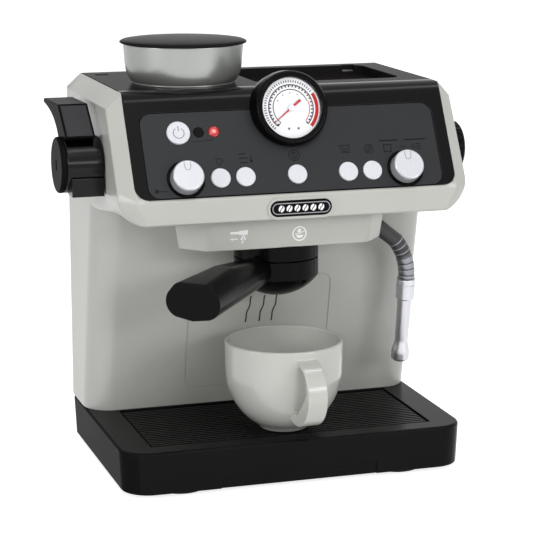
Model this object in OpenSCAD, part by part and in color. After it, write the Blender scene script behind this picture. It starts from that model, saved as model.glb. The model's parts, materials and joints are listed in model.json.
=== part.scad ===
// Toy espresso machine with a drip base, raked column, leaning control panel,
// bean hopper, portafilter, steam wand, side lever, side knob and a cup.
// X points right, Y points back and Z points up. All lengths are millimetres.

/* [Base] */
// Width of the base, column and hood
base_w = 215; // [205:1:235]
// Depth of the base from front to back
base_d = 143; // [138:1:160]
// Height of the base wall without the feet
base_h = 25.6; // [24:0.2:32]
// Radius of the upright front corners of the base
base_corner_r = 17; // [8:1:20]
// Radius of the upright rear corners of the base
base_back_r = 4; // [3:0.5:8]
// Radius of the rounded top edge of the base
base_edge_r = 1.8; // [1:0.1:3]
// Draft of the base's sides: how much narrower each is at the bottom
base_draft = 1.2; // [0:0.1:2]
// Wall thickness of the base
base_wall = 2.4; // [2:0.1:3]
// Thickness of the base deck under the drip grille
deck_t = 2; // [1.6:0.1:3]
// Width of the finger grip in the front wall
grip_w = 98; // [60:1:120]
// Height of the finger grip
grip_h = 7.5; // [5:0.5:10]
// Depth of the finger grip
grip_d = 1; // [0.5:0.1:1.4]
// Thickness of the bottom cover
cover_t = 2.2; // [1.8:0.1:3]

/* [Feet] */
// Diameter of a foot
foot_dia = 32; // [20:1:34]
// Height of a foot
foot_h = 3; // [2:0.5:6]
// Distance of a foot's centre from the middle plane
foot_x = 69; // [60:1:78]
// Distance of a foot's centre from the base's middle, front to back
foot_y = 50; // [40:0.5:51]

/* [Drip grille] */
// Half width of the drip grille
grille_hw = 88.5; // [70:0.5:92]
// Distance from the base's front edge to the grille
grille_front = 13.5; // [10:0.5:20]
// Gap between the grille's back edge and the column
grille_back_gap = 2; // [1:0.5:6]
// Depth of the recess that holds the grille
grille_depth = 2.2; // [1.8:0.1:3]
// Thickness of the grille plate under its ribs
grille_plate_t = 0.8; // [0.6:0.1:1.2]
// Height of a grille rib
grille_rib_h = 0.8; // [0.4:0.1:1]
// Width of a grille rib
grille_rib_w = 2; // [1:0.1:3]
// Distance between grille ribs
grille_pitch = 3.6; // [3:0.1:5]

/* [Column] */
// Distance of the column's front from the base's front edge, at deck level
column_setback = 96; // [90:1:110]
// Lean of the column's front towards the user, in degrees
column_rake = 12; // [0:0.5:14]
// Radius of the column's upright front corners
column_corner_r = 17; // [8:1:20]
// Wall thickness of the column and hood
shell_t = 2.6; // [2:0.1:3.2]
// Half width of the line moulded in the column's front
line_hw = 46.6; // [30:0.1:60]
// Height of the moulded line's lower edge above the deck
line_z = 11; // [6:0.5:20]
// Height of the moulded outline along the slope
line_h = 75; // [60:1:90]
// Corner radius of the moulded outline
line_r = 8; // [4:0.5:14]
// Width of the moulded line
line_t = 1; // [0.6:0.1:2]
// Depth of the moulded line
line_d = 0.5; // [0.3:0.1:1]

/* [Hood] */
// Height of the hood's underside above the deck
hood_z = 134; // [130:0.5:145]
// Distance of the hood's front from the base's front edge
hood_setback = 1; // [0:0.5:6]
// Height of the front band under the panel
band_h = 15.7; // [12:0.1:20]
// Lean of the control panel from upright, in degrees
panel_lean = 28.7; // [20:0.1:35]
// Length of the control panel along its slope
panel_len = 66.4; // [60:0.1:72]
// Width of the slanted strip on each side of the panel
strip_w = 9; // [6:0.5:12]
// Height of the slanted strip along the hood's top
strip_drop = 8.1; // [5:0.1:10]
// Distance of the side ridge behind the panel's face
ridge_set = 6.1; // [4:0.1:8]
// Radius of the hood's rounded edges
hood_edge_r = 2; // [1:0.1:3]
// How far the hood's lower front corners are drawn in
hood_corner = 5; // [0:0.5:8]
// Thickness of the rear cover
rear_t = 2.4; // [2:0.1:3]

/* [Control panel] */
// Thickness of the control panel and the top tray
panel_t = 3; // [2.6:0.1:3.6]
// Radius of the panel's lower corners
panel_corner_r = 8; // [4:0.5:12]
// Radius of the roll between the panel and the top
roll_r = 12; // [8:0.5:14]
// Length of the panel's flat top lip behind the roll
lip_d = 4; // [3:0.5:8]
// Half width of the inlay plate
inlay_hw = 90.3; // [88:0.1:94]
// Distance of the inlay's lower edge from the panel's lower edge
inlay_v = 0.9; // [0.6:0.1:1.2]
// Height of the inlay plate along the slope
inlay_h = 52; // [50:0.5:54]
// Corner radius of the inlay plate
inlay_r = 7; // [4:0.5:10]
// Thickness of the inlay plate
inlay_t = 1; // [0.6:0.1:1.4]

/* [Buttons] */
// Diameter of a small push button
button_dia = 11.7; // [10:0.1:13]
// Diameter of the power button
power_dia = 14; // [12:0.1:16]
// Height of a button's face above the panel's face
button_proud = 1; // [0.8:0.1:2]
// Travel of a button
button_travel = 1.5; // [1:0.1:2]
// Thickness of the flange that keeps a button in
flange_t = 1.2; // [0.8:0.1:2]
// Height of the button row above the panel's lower edge
button_v = 11.6; // [10.5:0.1:16]
// Distance of the inner buttons from the middle
button_x1 = 31.6; // [28:0.1:34]
// Distance of the outer buttons from the middle
button_x2 = 46.7; // [45:0.1:52]
// Distance of the power button from the middle
power_x = 68.2; // [62:0.1:74]
// Height of the power button above the panel's lower edge
power_v = 40.3; // [36:0.1:44]
// Distance of the dark window from the middle
window_x = 56; // [52:0.1:58]
// Diameter of the dark window
window_dia = 6; // [4:0.1:7]
// Distance of the lamp lens from the middle
lamp_x = 46.8; // [42:0.1:49]
// Diameter of the lamp lens
lamp_dia = 6.4; // [4:0.1:7]

/* [Dial knobs] */
// Diameter of a dial knob at its foot
knob_dia = 19; // [16:0.1:20]
// Height of a dial knob's face above the panel's face
knob_proud = 7.5; // [5:0.1:10]
// Distance of the dial knobs from the middle
knob_x = 67.5; // [64:0.1:72]
// Height of the dial knobs above the panel's lower edge
knob_v = 11.8; // [11:0.1:18]
// Diameter of a dial knob's shaft
knob_shaft_dia = 6; // [4:0.1:8]

/* [Gauge] */
// Radius of the gauge housing
gauge_r = 23.2; // [21:0.1:24]
// Radius of the gauge's front rim
gauge_rim_r = 21; // [19.6:0.1:22]
// Radius of the gauge dial
dial_r = 18; // [16:0.1:18.2]
// Lean of the gauge's face from upright, in degrees
gauge_lean = 16; // [12:0.5:28]
// Height of the dial's centre above the panel's lower edge
gauge_v = 50.3; // [49:0.1:52]
// Distance of the dial in front of the panel's face
gauge_off = 6.8; // [6:0.1:9]
// Height of the gauge's rim in front of the dial
rim_h = 3.4; // [3:0.1:5]
// Depth of the gauge housing behind the dial
gauge_back = 16; // [12:0.1:18]
// Radius of the boss that locates the gauge in the panel
gauge_boss_r = 6; // [3:0.5:7]
// Distance of the boss below the gauge's middle
boss_drop = 6; // [4:0.5:10]
// Thickness of the gauge dial and of its lens
dial_t = 1; // [0.8:0.1:1.4]
// Length of the needle from its pin to its tip
needle_len = 13.5; // [10:0.5:15]
// Length of the needle's tail
needle_tail = 7.5; // [4:0.5:9]
// Diameter of the needle's pin
needle_pin_dia = 2; // [1.4:0.1:3]
// Rest angle of the needle from straight up, counter-clockwise, in degrees
needle_angle = 127.5; // [0:0.5:180]

/* [Badge] */
// Length of the badge
badge_l = 37.6; // [30:0.1:44]
// Height of the badge
badge_h = 9.4; // [7:0.1:11]
// Thickness of the badge
badge_t = 1.2; // [0.8:0.1:2]
// Width of the raised rim round the badge
badge_rim = 1.6; // [1:0.1:2.4]

/* [Top tray] */
// Left end of the cup tray's recess
recess_x0 = -8; // [-12:1:10]
// Right end of the cup tray's recess
recess_x1 = 84; // [60:1:88]
// Depth of the cup tray's recess
recess_depth = 6; // [4:0.5:10]
// Corner radius of the recess
recess_r = 8; // [4:0.5:12]
// Width of the tray's rim in front of the recess
tray_front_rim = 14; // [12:0.5:18]
// Width of the tray's rim behind the recess
tray_back_rim = 9; // [6:0.5:14]

/* [Hopper] */
// Distance of the hopper's centre from the middle plane
hopper_x = 50; // [46:0.5:54]
// Distance of the hopper's centre behind the base's front edge
hopper_back = 75.5; // [71.5:0.5:81.5]
// Radius of the hopper bowl's rim
hopper_rim_r = 36.2; // [32:0.1:38]
// Radius of the bowl where its wall turns in
hopper_low_r = 35.5; // [30:0.1:36]
// Height of the hopper bowl
hopper_h = 23.6; // [20:0.1:34]
// Radius of the bowl's rounded lower edge
hopper_turn_r = 13; // [6:0.5:14]
// Radius of the bowl's foot ring
hopper_foot_r = 31; // [28:0.1:32]
// Wall thickness of the hopper bowl
hopper_wall = 2; // [1.6:0.1:3]
// Radius of the hopper lid
lid_r = 38.3; // [36.5:0.1:40]
// Height of the lid's straight edge
lid_edge_h = 1.4; // [1:0.1:3]
// Height of the lid's dome above its edge
lid_dome_h = 1.7; // [1:0.1:6]
// Depth of the lid's locating ring
lid_plug_h = 3; // [2:0.1:5]

/* [Side lever and side knob] */
// Distance of the lever's pivot behind the base's front edge
lever_back = 54; // [47.5:0.5:59.5]
// Height of the lever's pivot above the deck
lever_z = 164.4; // [158:0.1:170]
// Radius of the lever's barrel
barrel_r = 16.6; // [14:0.1:18]
// Length of the lever's barrel with its cap
barrel_l = 25.4; // [22:0.1:30]
// Gap between the housing and the lever or the side knob
side_gap = 0.5; // [0.3:0.1:1]
// Thickness of the barrel's end cap
cap_t = 3.4; // [2:0.1:5]
// Width of the lever's thumb paddle
paddle_w = 17; // [12:0.5:18]
// Distance of the paddle's outer side from the barrel's outer end
paddle_in = 3.6; // [3.6:0.1:6]
// Diameter of the shafts of the lever and the side knob
side_shaft_dia = 10; // [8:0.1:12]
// Thickness of the rings that hold these shafts inside
retainer_t = 1.6; // [1:0.1:3]
// Radius of the side knob
side_knob_r = 15.7; // [12:0.1:17]
// Thickness of the side knob
side_knob_t = 12; // [8:0.5:16]
// Number of ribs round the side knob
side_knob_ribs = 24; // [16:1:30]

/* [Brow and group head] */
// Distance of the brow's front from the base's front edge
brow_setback = 22.9; // [22:0.1:26]
// Half width of the brow's front face
brow_hw = 50; // [44:0.5:54]
// How far each wing of the brow reaches beyond its front face
brow_wing = 13.5; // [8:0.5:16]
// Depth from the brow's front to the ends of its wings
brow_wing_d = 16.6; // [12:0.1:17]
// Half width of the brow behind its wings
brow_neck = 54; // [48:0.5:56]
// Widening of the brow on each side up to the hood
brow_flare = 3.2; // [0:0.1:5]
// Height of the brow
brow_h = 20.8; // [18:0.1:24]
// Radius of the brow's front corners
brow_r = 8; // [4:0.5:10]
// Radius of the group head
head_r = 25; // [22:0.1:25.2]
// Distance of the group head's axis behind the base's front edge
head_back = 48.1; // [46.5:0.1:48.3]
// Height of the group head below the brow
head_h = 7.3; // [6:0.1:12]

/* [Portafilter] */
// Height of the portafilter's ring
ring_h = 10.8; // [10:0.1:16]
// Gap between the portafilter and the group head
head_gap = 0.4; // [0.3:0.1:1]
// Depth of the bowl under the ring
bowl_h = 15.3; // [8:0.1:18]
// Wall thickness of the portafilter
filter_wall = 2.6; // [2:0.1:4]
// Radius of the plug that turns in the group head
plug_r = 18; // [14:0.1:20]
// Height of the plug
plug_h = 5; // [4:0.1:6]
// Turn of the handle from straight ahead towards the left, in degrees
handle_az = 44.2; // [0:0.1:60]
// Distance of the handle's end from the group head's axis
handle_reach = 106.2; // [80:0.1:115]
// Width of the handle at its end
handle_end_w = 35; // [24:0.5:38]
// Height of the handle at its end
handle_end_h = 22; // [16:0.5:24]
// Width of the handle at its root
handle_root_w = 20.4; // [16:0.1:26]
// Height of the handle at its root
handle_root_h = 17.6; // [10:0.1:18]
// Rise of the handle's back along its middle
handle_arch = 2.7; // [0:0.1:5]
// Drop of the handle's middle line below the ring's middle
handle_drop = 4.4; // [0:0.1:6]
// Diameter of the neck between the ring and the handle
neck_dia = 9; // [8:0.5:10]

/* [Steam wand] */
// Distance of the wand's pivot behind the base's front edge
wand_back = 51.5; // [49.5:0.5:53.5]
// Height of the wand's pivot above the brow's lower edge
wand_z = 9.7; // [8:0.1:12]
// Diameter of the wand's hose
hose_dia = 10.4; // [8:0.1:11]
// Fall of the hose's first stretch, in degrees
hose_fall = 26; // [10:1:40]
// Length of the hose's first stretch
hose_first = 14; // [12:0.5:18]
// Radius of the hose's bend
hose_bend_r = 40; // [34:0.5:44]
// Number of rings on the hose's bend
hose_rings = 8; // [4:1:10]
// Diameter of the wand's collar
collar_dia = 11.7; // [11:0.1:13]
// Length of the wand's collar
collar_l = 14; // [8:0.5:16]
// Diameter of the nozzle's tube
nozzle_dia = 9; // [7:0.1:10]
// Diameter of the nozzle's bell end
bell_dia = 11.5; // [9:0.1:13]
// Length of the nozzle
nozzle_l = 42; // [30:0.5:45]
// Lean of the wand towards the column, in degrees
wand_lean = 9.5; // [0:0.5:12]
// Diameter of the wand's pivot pin
wand_pin_dia = 6; // [4:0.1:7]

/* [Cup] */
// Radius of the cup's rim
cup_r = 36; // [32:0.1:38]
// Height of the cup
cup_h = 55; // [50:0.5:60]
// Radius of the cup's foot
cup_foot_r = 14.5; // [12:0.1:18]
// Wall thickness of the cup
cup_wall = 2.2; // [1.6:0.1:3]
// Distance of the cup's axis behind the base's front edge
cup_back = 32.5; // [29.5:0.5:37.5]
// Outer radius of the handle's loop
loop_r = 20.2; // [19:0.1:21]
// Height of the loop's middle above the cup's foot
loop_z = 30; // [26:0.5:32]
// Thickness of the handle's strap
strap_t = 4.6; // [4:0.1:6]
// Width of the handle's strap
strap_w = 12.5; // [8:0.5:14]
// Turn of the cup's handle from straight ahead towards the right, in degrees
cup_az = 4.5; // [-10:0.5:20]

/* [Batteries and electronics] */
// Diameter of a battery
cell_dia = 14.3; // [14:0.1:14.5]
// Length of a battery without its button end
cell_l = 49.2; // [48:0.1:50]
// Number of batteries
cell_n = 3; // [2:1:3]
// Distance between battery centres
cell_pitch = 15.4; // [15:0.1:17]
// Thickness of the battery box's walls
box_t = 1.4; // [1.2:0.1:2]
// Thickness of the circuit board
board_t = 1.6; // [1:0.1:2]
// Diameter of the loudspeaker
speaker_dia = 40; // [30:1:50]
// Height of the loudspeaker's centre above the base's deck
speaker_up = 55; // [40:1:80]
// Diameter of a screw's shank
screw_dia = 2.8; // [2:0.1:3.5]
// Diameter of a screw's head
screw_head_dia = 5.6; // [4:0.1:6.5]
// Length of a screw's shank
screw_l = 10; // [8:0.5:14]

/* [Fits] */
// Gap between a fixed piece and the opening that it fills
fit = 0.15; // [0.05:0.05:0.3]
// Gap round a push button
button_gap = 0.25; // [0.15:0.05:0.4]
// Radial clearance of a shaft that turns in its bore
turn_gap = 0.05; // [0.02:0.01:0.09]
// Gap that keeps a resting or lifting piece clear of its seat
rest_gap = 0.3; // [0.2:0.05:0.5]

/* [Hidden] */
$fn = 64;

// Small overlap that makes cuts run clear of a face
eps = 0.01;
// Lengths that only have to reach past everything
far = 400;

// Levels and planes
base_z0 = foot_h;
deck_z = foot_h + base_h;
front_y = -base_d / 2;
rear_y = base_d / 2;
shell_rear_y = rear_y - rear_t;
half_w = base_w / 2;
column_y = front_y + column_setback;
hood_bottom = deck_z + hood_z;
hood_y = front_y + hood_setback;
panel_z = hood_bottom + band_h;
panel_y = hood_y + 0.5;
top_z = panel_z + panel_len * cos(panel_lean);
top_y = panel_y + panel_len * sin(panel_lean);
panel_hw = half_w - strip_w;
brow_y = front_y + brow_setback;
brow_z = hood_bottom - brow_h;
tray_y0 = top_y + roll_tangent(roll_r) + lip_d;
tray_y1 = shell_rear_y;
head_y = -front_y - head_back;
wand_y = -front_y - wand_back;
cup_y = -front_y - cup_back;
lever_y = -front_y - lever_back;
hopper_y = front_y + hopper_back;
lever_pos_z = deck_z + lever_z;
ring_top = brow_z - head_h - head_gap;
ring_bottom = ring_top - ring_h;
ring_mid = (ring_top + ring_bottom) / 2;
cup_z0 = deck_z - grille_depth + grille_plate_t + grille_rib_h + rest_gap;
grille_y0 = front_y + grille_front;
grille_y1 = column_y - grille_back_gap;
cover_z1 = base_z0 + cover_t;
base_post_y = 24;
door_t = cover_t - 1 - fit;
cell_nub = 1.2;
contact_t = 1.2;
cell_z = base_z0 + door_t + 0.2 + cell_dia / 2;
box_hx = (cell_l + cell_nub) / 2 + contact_t;
box_hy = cell_n * cell_pitch / 2 + 0.4;
box_y = 14;
box_top = cell_z + cell_dia / 2 + 0.2 + box_t;
wand_pos_z = brow_z + wand_z;
wand_root_x = brow_neck + side_gap;

// The model stands with the middle of its bounding box over the origin
left_reach = half_w + side_gap + barrel_l;
right_reach = half_w + side_gap + side_knob_t;
front_reach = head_y + handle_reach * cos(handle_az) + handle_end_w / 2 * sin(handle_az);
frame_x = (right_reach - left_reach) / 2;
frame_y = (rear_y - front_reach) / 2;

// Colours
grey = [0.76, 0.76, 0.73];
black = [0.07, 0.07, 0.075];
dark_grey = [0.2, 0.2, 0.22];
pearl = [0.88, 0.88, 0.91];
silver = [0.72, 0.73, 0.75];
steel = [0.6, 0.6, 0.62];
brass = [0.72, 0.55, 0.25];

// Length that a round of radius r takes off each side of the panel's top corner
function roll_tangent(r) = r * tan((90 - panel_lean) / 2);

// Places and turns children from the panel's own plane: x across, y up the slope, z outwards
module on_panel(x = 0, v = 0, off = 0) {
    translate([0, panel_y, panel_z])
        rotate([90 - panel_lean, 0, 0])
            translate([x, v, off])
                children();
}

// Places children on the column's raked front: x across, y up the slope, z outwards
module on_column(x = 0, v = 0, off = 0) {
    translate([0, column_y, deck_z])
        rotate([90 + column_rake, 0, 0])
            translate([x, v, off])
                children();
}

// Places children at the lever's pivot line, with z along the pivot towards the right
module on_side_axis(x) {
    translate([x, -lever_y, lever_pos_z])
        rotate([90, 0, 90])
            children();
}

// Sets the whole model over the origin
module in_frame() {
    translate([-frame_x, -frame_y, 0])
        children();
}

// Flat rounded rectangle about the origin, with its own corner radius rb at the back
module rounded_rect(w, h, r, rb = -1) {
    back = rb < 0 ? r : rb;
    square([w - 2 * r, h], center = true);
    translate([-w / 2, r - h / 2])
        square([w, h - r - back]);
    if (back < r)
        translate([back - w / 2, 0])
            square([w - 2 * back, h / 2]);
    for (sx = [-1, 1]) {
        translate([sx * (w / 2 - r), r - h / 2])
            circle(r);
        translate([sx * (w / 2 - back), h / 2 - back])
            circle(back);
    }
}

// Upright rounded block with a soft top edge, corner radius r in front and rb behind,
// whose sides draw in by draft towards the bottom
module soft_block(w, d, h, r, rb, edge, draft) {
    hull() {
        for (sx = [-1, 1], sy = [-1, 1]) {
            k = sy < 0 ? r : rb;
            translate([sx * (w / 2 - k - draft), sy * (d / 2 - k), 0])
                cylinder(r = k, h = 0.1, $fn = 48);
            translate([sx * (w / 2 - k), sy * (d / 2 - k), h - edge])
                rotate_extrude($fn = 48)
                    translate([k - edge, 0])
                        circle(edge, $fn = 16);
        }
    }
}

// Solid of revolution about z from an outline of [radius, height] points
module turned(points) {
    rotate_extrude($fn = 96)
        polygon(points);
}

// Round screw with its head at the origin and its shank along z
module screw() {
    cylinder(d = screw_head_dia, h = 1.8);
    translate([0, 0, 1.8 - eps])
        cylinder(d = screw_dia, h = screw_l - 1.8);
}

// Cross recess in a screw's head
module cross_slot() {
    for (a = [0, 90])
        rotate([0, 0, a])
            cube([3, 0.6, 1.2], center = true);
}

// ---- Base ----

// Places children at the four screw posts of the base
module at_base_posts() {
    for (sx = [-1, 1], sy = [-1, 1])
        translate([sx * (half_w - 12), sy * base_post_y, 0])
            children();
}

module base_housing() {
    color(black)
        difference() {
            union() {
                difference() {
                    translate([0, 0, base_z0])
                        soft_block(base_w, base_d, base_h, base_corner_r, base_back_r, base_edge_r, base_draft);
                    translate([0, 0, base_z0 - 1])
                        linear_extrude(base_h - grille_depth - deck_t + 1)
                            rounded_rect(base_w - 2 * (base_wall + base_draft), base_d - 2 * base_wall,
                                base_corner_r - base_wall, base_back_r - base_wall + 0.4);
                }
                at_base_posts()
                    translate([0, 0, cover_z1 + fit])
                        cylinder(d = 8, h = deck_z - grille_depth - deck_t - cover_z1 - fit + 0.5);
            }
            translate([-grille_hw - fit, grille_y0 - fit, deck_z - grille_depth])
                cube([2 * (grille_hw + fit), grille_y1 - grille_y0 + 2 * fit, far]);
            translate([-grip_w / 2, front_y - eps, base_z0 - eps])
                cube([grip_w, grip_d, grip_h]);
            at_base_posts()
                translate([0, 0, cover_z1 - eps])
                    cylinder(d = screw_dia + 2 * turn_gap, h = screw_l - 1);
            translate([0, (column_y + shell_rear_y) / 2, deck_z - 10])
                cylinder(d = 12, h = 20);
        }
}

module bottom_cover() {
    color(black)
        difference() {
            union() {
                translate([0, 0, base_z0])
                    linear_extrude(cover_t)
                        rounded_rect(base_w - 2 * (base_wall + base_draft + fit),
                            base_d - 2 * base_wall - 2 * fit, base_corner_r - base_wall - fit,
                            base_back_r - base_wall + 0.4);
                translate([-box_hx - box_t, box_y - box_hy - box_t, base_z0])
                    cube([2 * (box_hx + box_t), 2 * (box_hy + box_t), box_top - base_z0]);
            }
            translate([-box_hx, box_y - box_hy, base_z0 - 1])
                cube([2 * box_hx, 2 * box_hy, box_top - box_t - base_z0 + 1]);
            battery_door_outline(fit, base_z0 - 1, cover_t);
            at_base_posts()
                translate([0, 0, base_z0 - 1]) {
                    cylinder(d = screw_dia + 2 * turn_gap, h = 10);
                    cylinder(d = screw_head_dia + 2 * fit, h = 1 + 1.9);
                }
            translate([0, box_y + box_hy + 6, base_z0 - 1])
                cylinder(d = screw_dia + 2 * turn_gap, h = 10);
        }
}

// Block as large as the battery door, grown by gap, from z0 over height h
module battery_door_outline(gap, z0, h) {
    translate([-box_hx - 3 - gap, box_y - box_hy - 3 - gap, z0])
        cube([2 * (box_hx + 3 + gap), 2 * (box_hy + 3 + gap) + 7, h]);
}

module battery_door() {
    color(black)
        difference() {
            battery_door_outline(0, base_z0, door_t);
            translate([0, box_y + box_hy + 6, base_z0 - 1])
                cylinder(d = screw_dia + 2 * turn_gap, h = 10);
            for (i = [-2:2])
                translate([-9, box_y - box_hy - 1 + i * 1.6 + 4, base_z0 - eps])
                    cube([18, 0.8, 0.4]);
        }
}

module battery_door_screw() {
    color(steel)
        translate([0, box_y + box_hy + 6, base_z0 - 1.8])
            difference() {
                screw();
                cross_slot();
            }
}

module base_screws() {
    color(steel)
        at_base_posts()
            translate([0, 0, base_z0])
                difference() {
                    screw();
                    cross_slot();
                }
}

module foot(sx, sy) {
    color(dark_grey)
        translate([sx * foot_x, sy * foot_y, 0])
            turned([[0, 0], [foot_dia / 2 - 0.8, 0], [foot_dia / 2, 0.8],
                [foot_dia / 2, foot_h], [0, foot_h]]);
}

module foot_front_left() { foot(-1, -1); }
module foot_front_right() { foot(1, -1); }
module foot_back_left() { foot(-1, 1); }
module foot_back_right() { foot(1, 1); }

// Battery number i, laid the other way round from its neighbours
module battery(i) {
    flip = i % 2 == 0 ? 1 : -1;
    color(brass)
        translate([0, box_y + (i - (cell_n + 1) / 2) * cell_pitch, cell_z])
            rotate([0, 90 * flip, 0])
                translate([0, 0, -(cell_l + cell_nub) / 2]) {
                    cylinder(d = cell_dia, h = cell_l);
                    cylinder(d = 5.5, h = cell_l + cell_nub);
                }
}

module battery_1() { battery(1); }
module battery_2() { battery(2); }
module battery_3() { if (cell_n > 2) battery(3); }

module battery_contacts() {
    color(steel)
        for (sx = [-1, 1], i = [1:cell_n])
            translate([sx * (box_hx - contact_t / 2), box_y + (i - (cell_n + 1) / 2) * cell_pitch, cell_z])
                cube([contact_t, 9, 9], center = true);
}

module drip_grille() {
    ribs_y0 = grille_y0 + 3;
    ribs_n = floor((grille_y1 - grille_y0 - 6) / grille_pitch);
    z0 = deck_z - grille_depth;
    color(black) {
        translate([-grille_hw, grille_y0, z0])
            cube([2 * grille_hw, grille_y1 - grille_y0, grille_plate_t]);
        for (i = [0:ribs_n])
            translate([-grille_hw + 1, ribs_y0 + i * grille_pitch, z0 + grille_plate_t - eps])
                cube([2 * grille_hw - 2, grille_rib_w, grille_rib_h + eps]);
    }
}

// ---- Housing ----

// Outline points (y, z) of the hood's middle, pulled in by t
function hood_mid(t) = [
    [hood_y + t, hood_bottom + t],
    [hood_y + t, panel_z - 2],
    [panel_y + t, panel_z],
    [top_y + t, top_z - t],
    [shell_rear_y, top_z - t],
    [shell_rear_y, hood_bottom + t]
];

// Outline points (y, z) of the hood's side faces, pulled in by t
function hood_side(t) = [
    [hood_y + 7 + t, hood_bottom + 14],
    [hood_y + 8 + t, panel_z + 3],
    [top_y + ridge_set / cos(panel_lean) - strip_drop * tan(panel_lean) + t, top_z - strip_drop - t],
    [shell_rear_y, top_z - strip_drop - t],
    [shell_rear_y, hood_bottom + t],
    [hood_y + 7.5 + t, hood_bottom + t]
];

// Hood's outer form, with every edge rounded
module hood_form() {
    r = hood_edge_r;
    mid = hood_mid(r);
    hull() {
        for (i = [0:len(mid) - 1], s = [-1, 1])
            translate([s * (panel_hw - r / 2 - (i == 0 ? hood_corner : 0)), mid[i][0], mid[i][1]])
                sphere(r, $fn = 16);
        for (p = hood_side(r), s = [-1, 1])
            translate([s * (half_w - r), p[0], p[1]])
                sphere(r, $fn = 16);
    }
}

// Flat outline from (y, z) points, raised along x between -hw and hw
module across(hw) {
    rotate([90, 0, 90])
        translate([0, 0, -hw])
            linear_extrude(2 * hw)
                children();
}

// Hood's hollow, thick walled behind the panel and under the top tray
module hood_hollow() {
    seat = panel_t + shell_t;
    hull() {
        across(panel_hw - 4)
            polygon([for (p = hood_mid(seat)) [min(p[0], rear_y), p[1] - (p[1] < panel_z - 4 ? seat - shell_t : 0)]]);
        across(half_w - shell_t)
            polygon(hood_side(shell_t + 1.5));
    }
    across(half_w - shell_t)
        polygon([[0, hood_bottom + shell_t], [rear_y, hood_bottom + shell_t],
            [rear_y, top_z - strip_drop - shell_t - 1.5], [0, top_z - strip_drop - shell_t - 1.5]]);
    across(panel_hw - 4)
        polygon([[0, hood_bottom + shell_t], [rear_y, hood_bottom + shell_t],
            [rear_y, top_z - seat], [0, top_z - seat]]);
}

// Column with a raked front and rounded front corners, walls pulled in by t
module column_form(t) {
    intersection() {
        translate([0, column_y, deck_z])
            rotate([column_rake, 0, 0])
                translate([0, 200 + t, -60])
                    linear_extrude(260)
                        rounded_rect(base_w - 2 * t, 400, column_corner_r - min(t, column_corner_r - 2));
        translate([-half_w, front_y, deck_z - (t > 0 ? 1 : 0)])
            cube([base_w, shell_rear_y - front_y + (t > 0 ? 10 : 0), hood_z + 4 + (t > 0 ? 4 : 0)]);
    }
}

// Solid (y, z) profile of the black panel and top, pulled in by t from their outer face
module roll_profile(t) {
    k = roll_tangent(roll_r);
    c = [top_y + k, top_z - roll_r];
    n = [-cos(panel_lean), sin(panel_lean)];
    s = [sin(panel_lean), cos(panel_lean)];
    r = roll_r - t;
    low = [panel_y, panel_z] - n * t - s * 40;
    polygon([low, c + n * r, c, c + [0, r], [far, top_z - t], [far, low[1]]]);
    translate(c)
        circle(r);
}

// Outline of the panel across its slope, grown by g, open towards the top
module panel_outline(g) {
    w = 2 * (panel_hw + g);
    h = 3 * panel_len;
    translate([0, h / 2 - g])
        rounded_rect(w, h, panel_corner_r);
}

// Openings through the housing's wall behind the panel and under the tray
module seat_windows() {
    on_panel(-panel_hw + 4, 4, -panel_t - 2 * shell_t)
        cube([2 * (panel_hw - 4), panel_len - roll_tangent(roll_r) - 8, 20]);
    translate([-panel_hw + 4, tray_y0 + 5, top_z - panel_t - 2 * shell_t])
        cube([2 * (panel_hw - 4), tray_y1 - tray_y0 - 9, 20]);
}

// Opening in the housing for the panel and the tray, down to their seat
module front_opening() {
    difference() {
        union() {
            on_panel(0, 0, -40)
                linear_extrude(80)
                    panel_outline(0);
            translate([-panel_hw, top_y + 20, top_z - 30])
                cube([2 * panel_hw, far, 100]);
        }
        across(far)
            roll_profile(panel_t);
    }
}

// Places children at the screw posts of the rear cover, with z pointing forwards
module at_rear_posts() {
    for (sx = [-1, 1], z = [deck_z + 14, deck_z + 92, top_z - 24])
        translate([sx * (half_w - shell_t - 4.2), shell_rear_y, z])
            rotate([90, 0, 0])
                children();
}

module main_housing() {
    color(grey)
        difference() {
            union() {
                difference() {
                    union() {
                        hood_form();
                        column_form(0);
                        badge_rim_form();
                    }
                    hood_hollow();
                    column_form(shell_t);
                    front_opening();
                    seat_windows();
                    translate([-far, shell_rear_y, 0])
                        cube([2 * far, far, far]);
                }
                at_rear_posts()
                    cylinder(d = 9, h = 14);
            }
            at_rear_posts()
                translate([0, 0, -eps])
                    cylinder(d = screw_dia + 2 * turn_gap, h = screw_l);
            for (s = [-1, 1])
                on_side_axis(s * (half_w - shell_t / 2))
                    cylinder(d = side_shaft_dia + 2 * turn_gap, h = 12, center = true);
            badge_pocket();
            moulded_line();
        }
}

// Rim that stands round the badge on the hood's band
module badge_rim_form() {
    translate([0, hood_y + 1, badge_z()])
        rotate([90, 0, 0])
            linear_extrude(1 + badge_t * 0.7)
                rounded_rect(badge_l + 2 * badge_rim, badge_h + 2 * badge_rim, badge_h / 2 + badge_rim - eps);
}

// Pocket that the badge sits in
module badge_pocket() {
    translate([0, hood_y, badge_z()])
        rotate([90, 0, 0])
            linear_extrude(10)
                rounded_rect(badge_l + 2 * fit, badge_h + 2 * fit, badge_h / 2 + fit - eps);
}

// Height of the badge's middle
function badge_z() = hood_bottom + band_h / 2 - 0.8;

// Line moulded in the column's front
module moulded_line() {
    on_column(0, line_z + line_h / 2, -line_d)
        linear_extrude(5)
            difference() {
                rounded_rect(2 * line_hw, line_h, line_r);
                rounded_rect(2 * (line_hw - line_t), line_h - 2 * line_t, line_r - line_t);
            }
}

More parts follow.
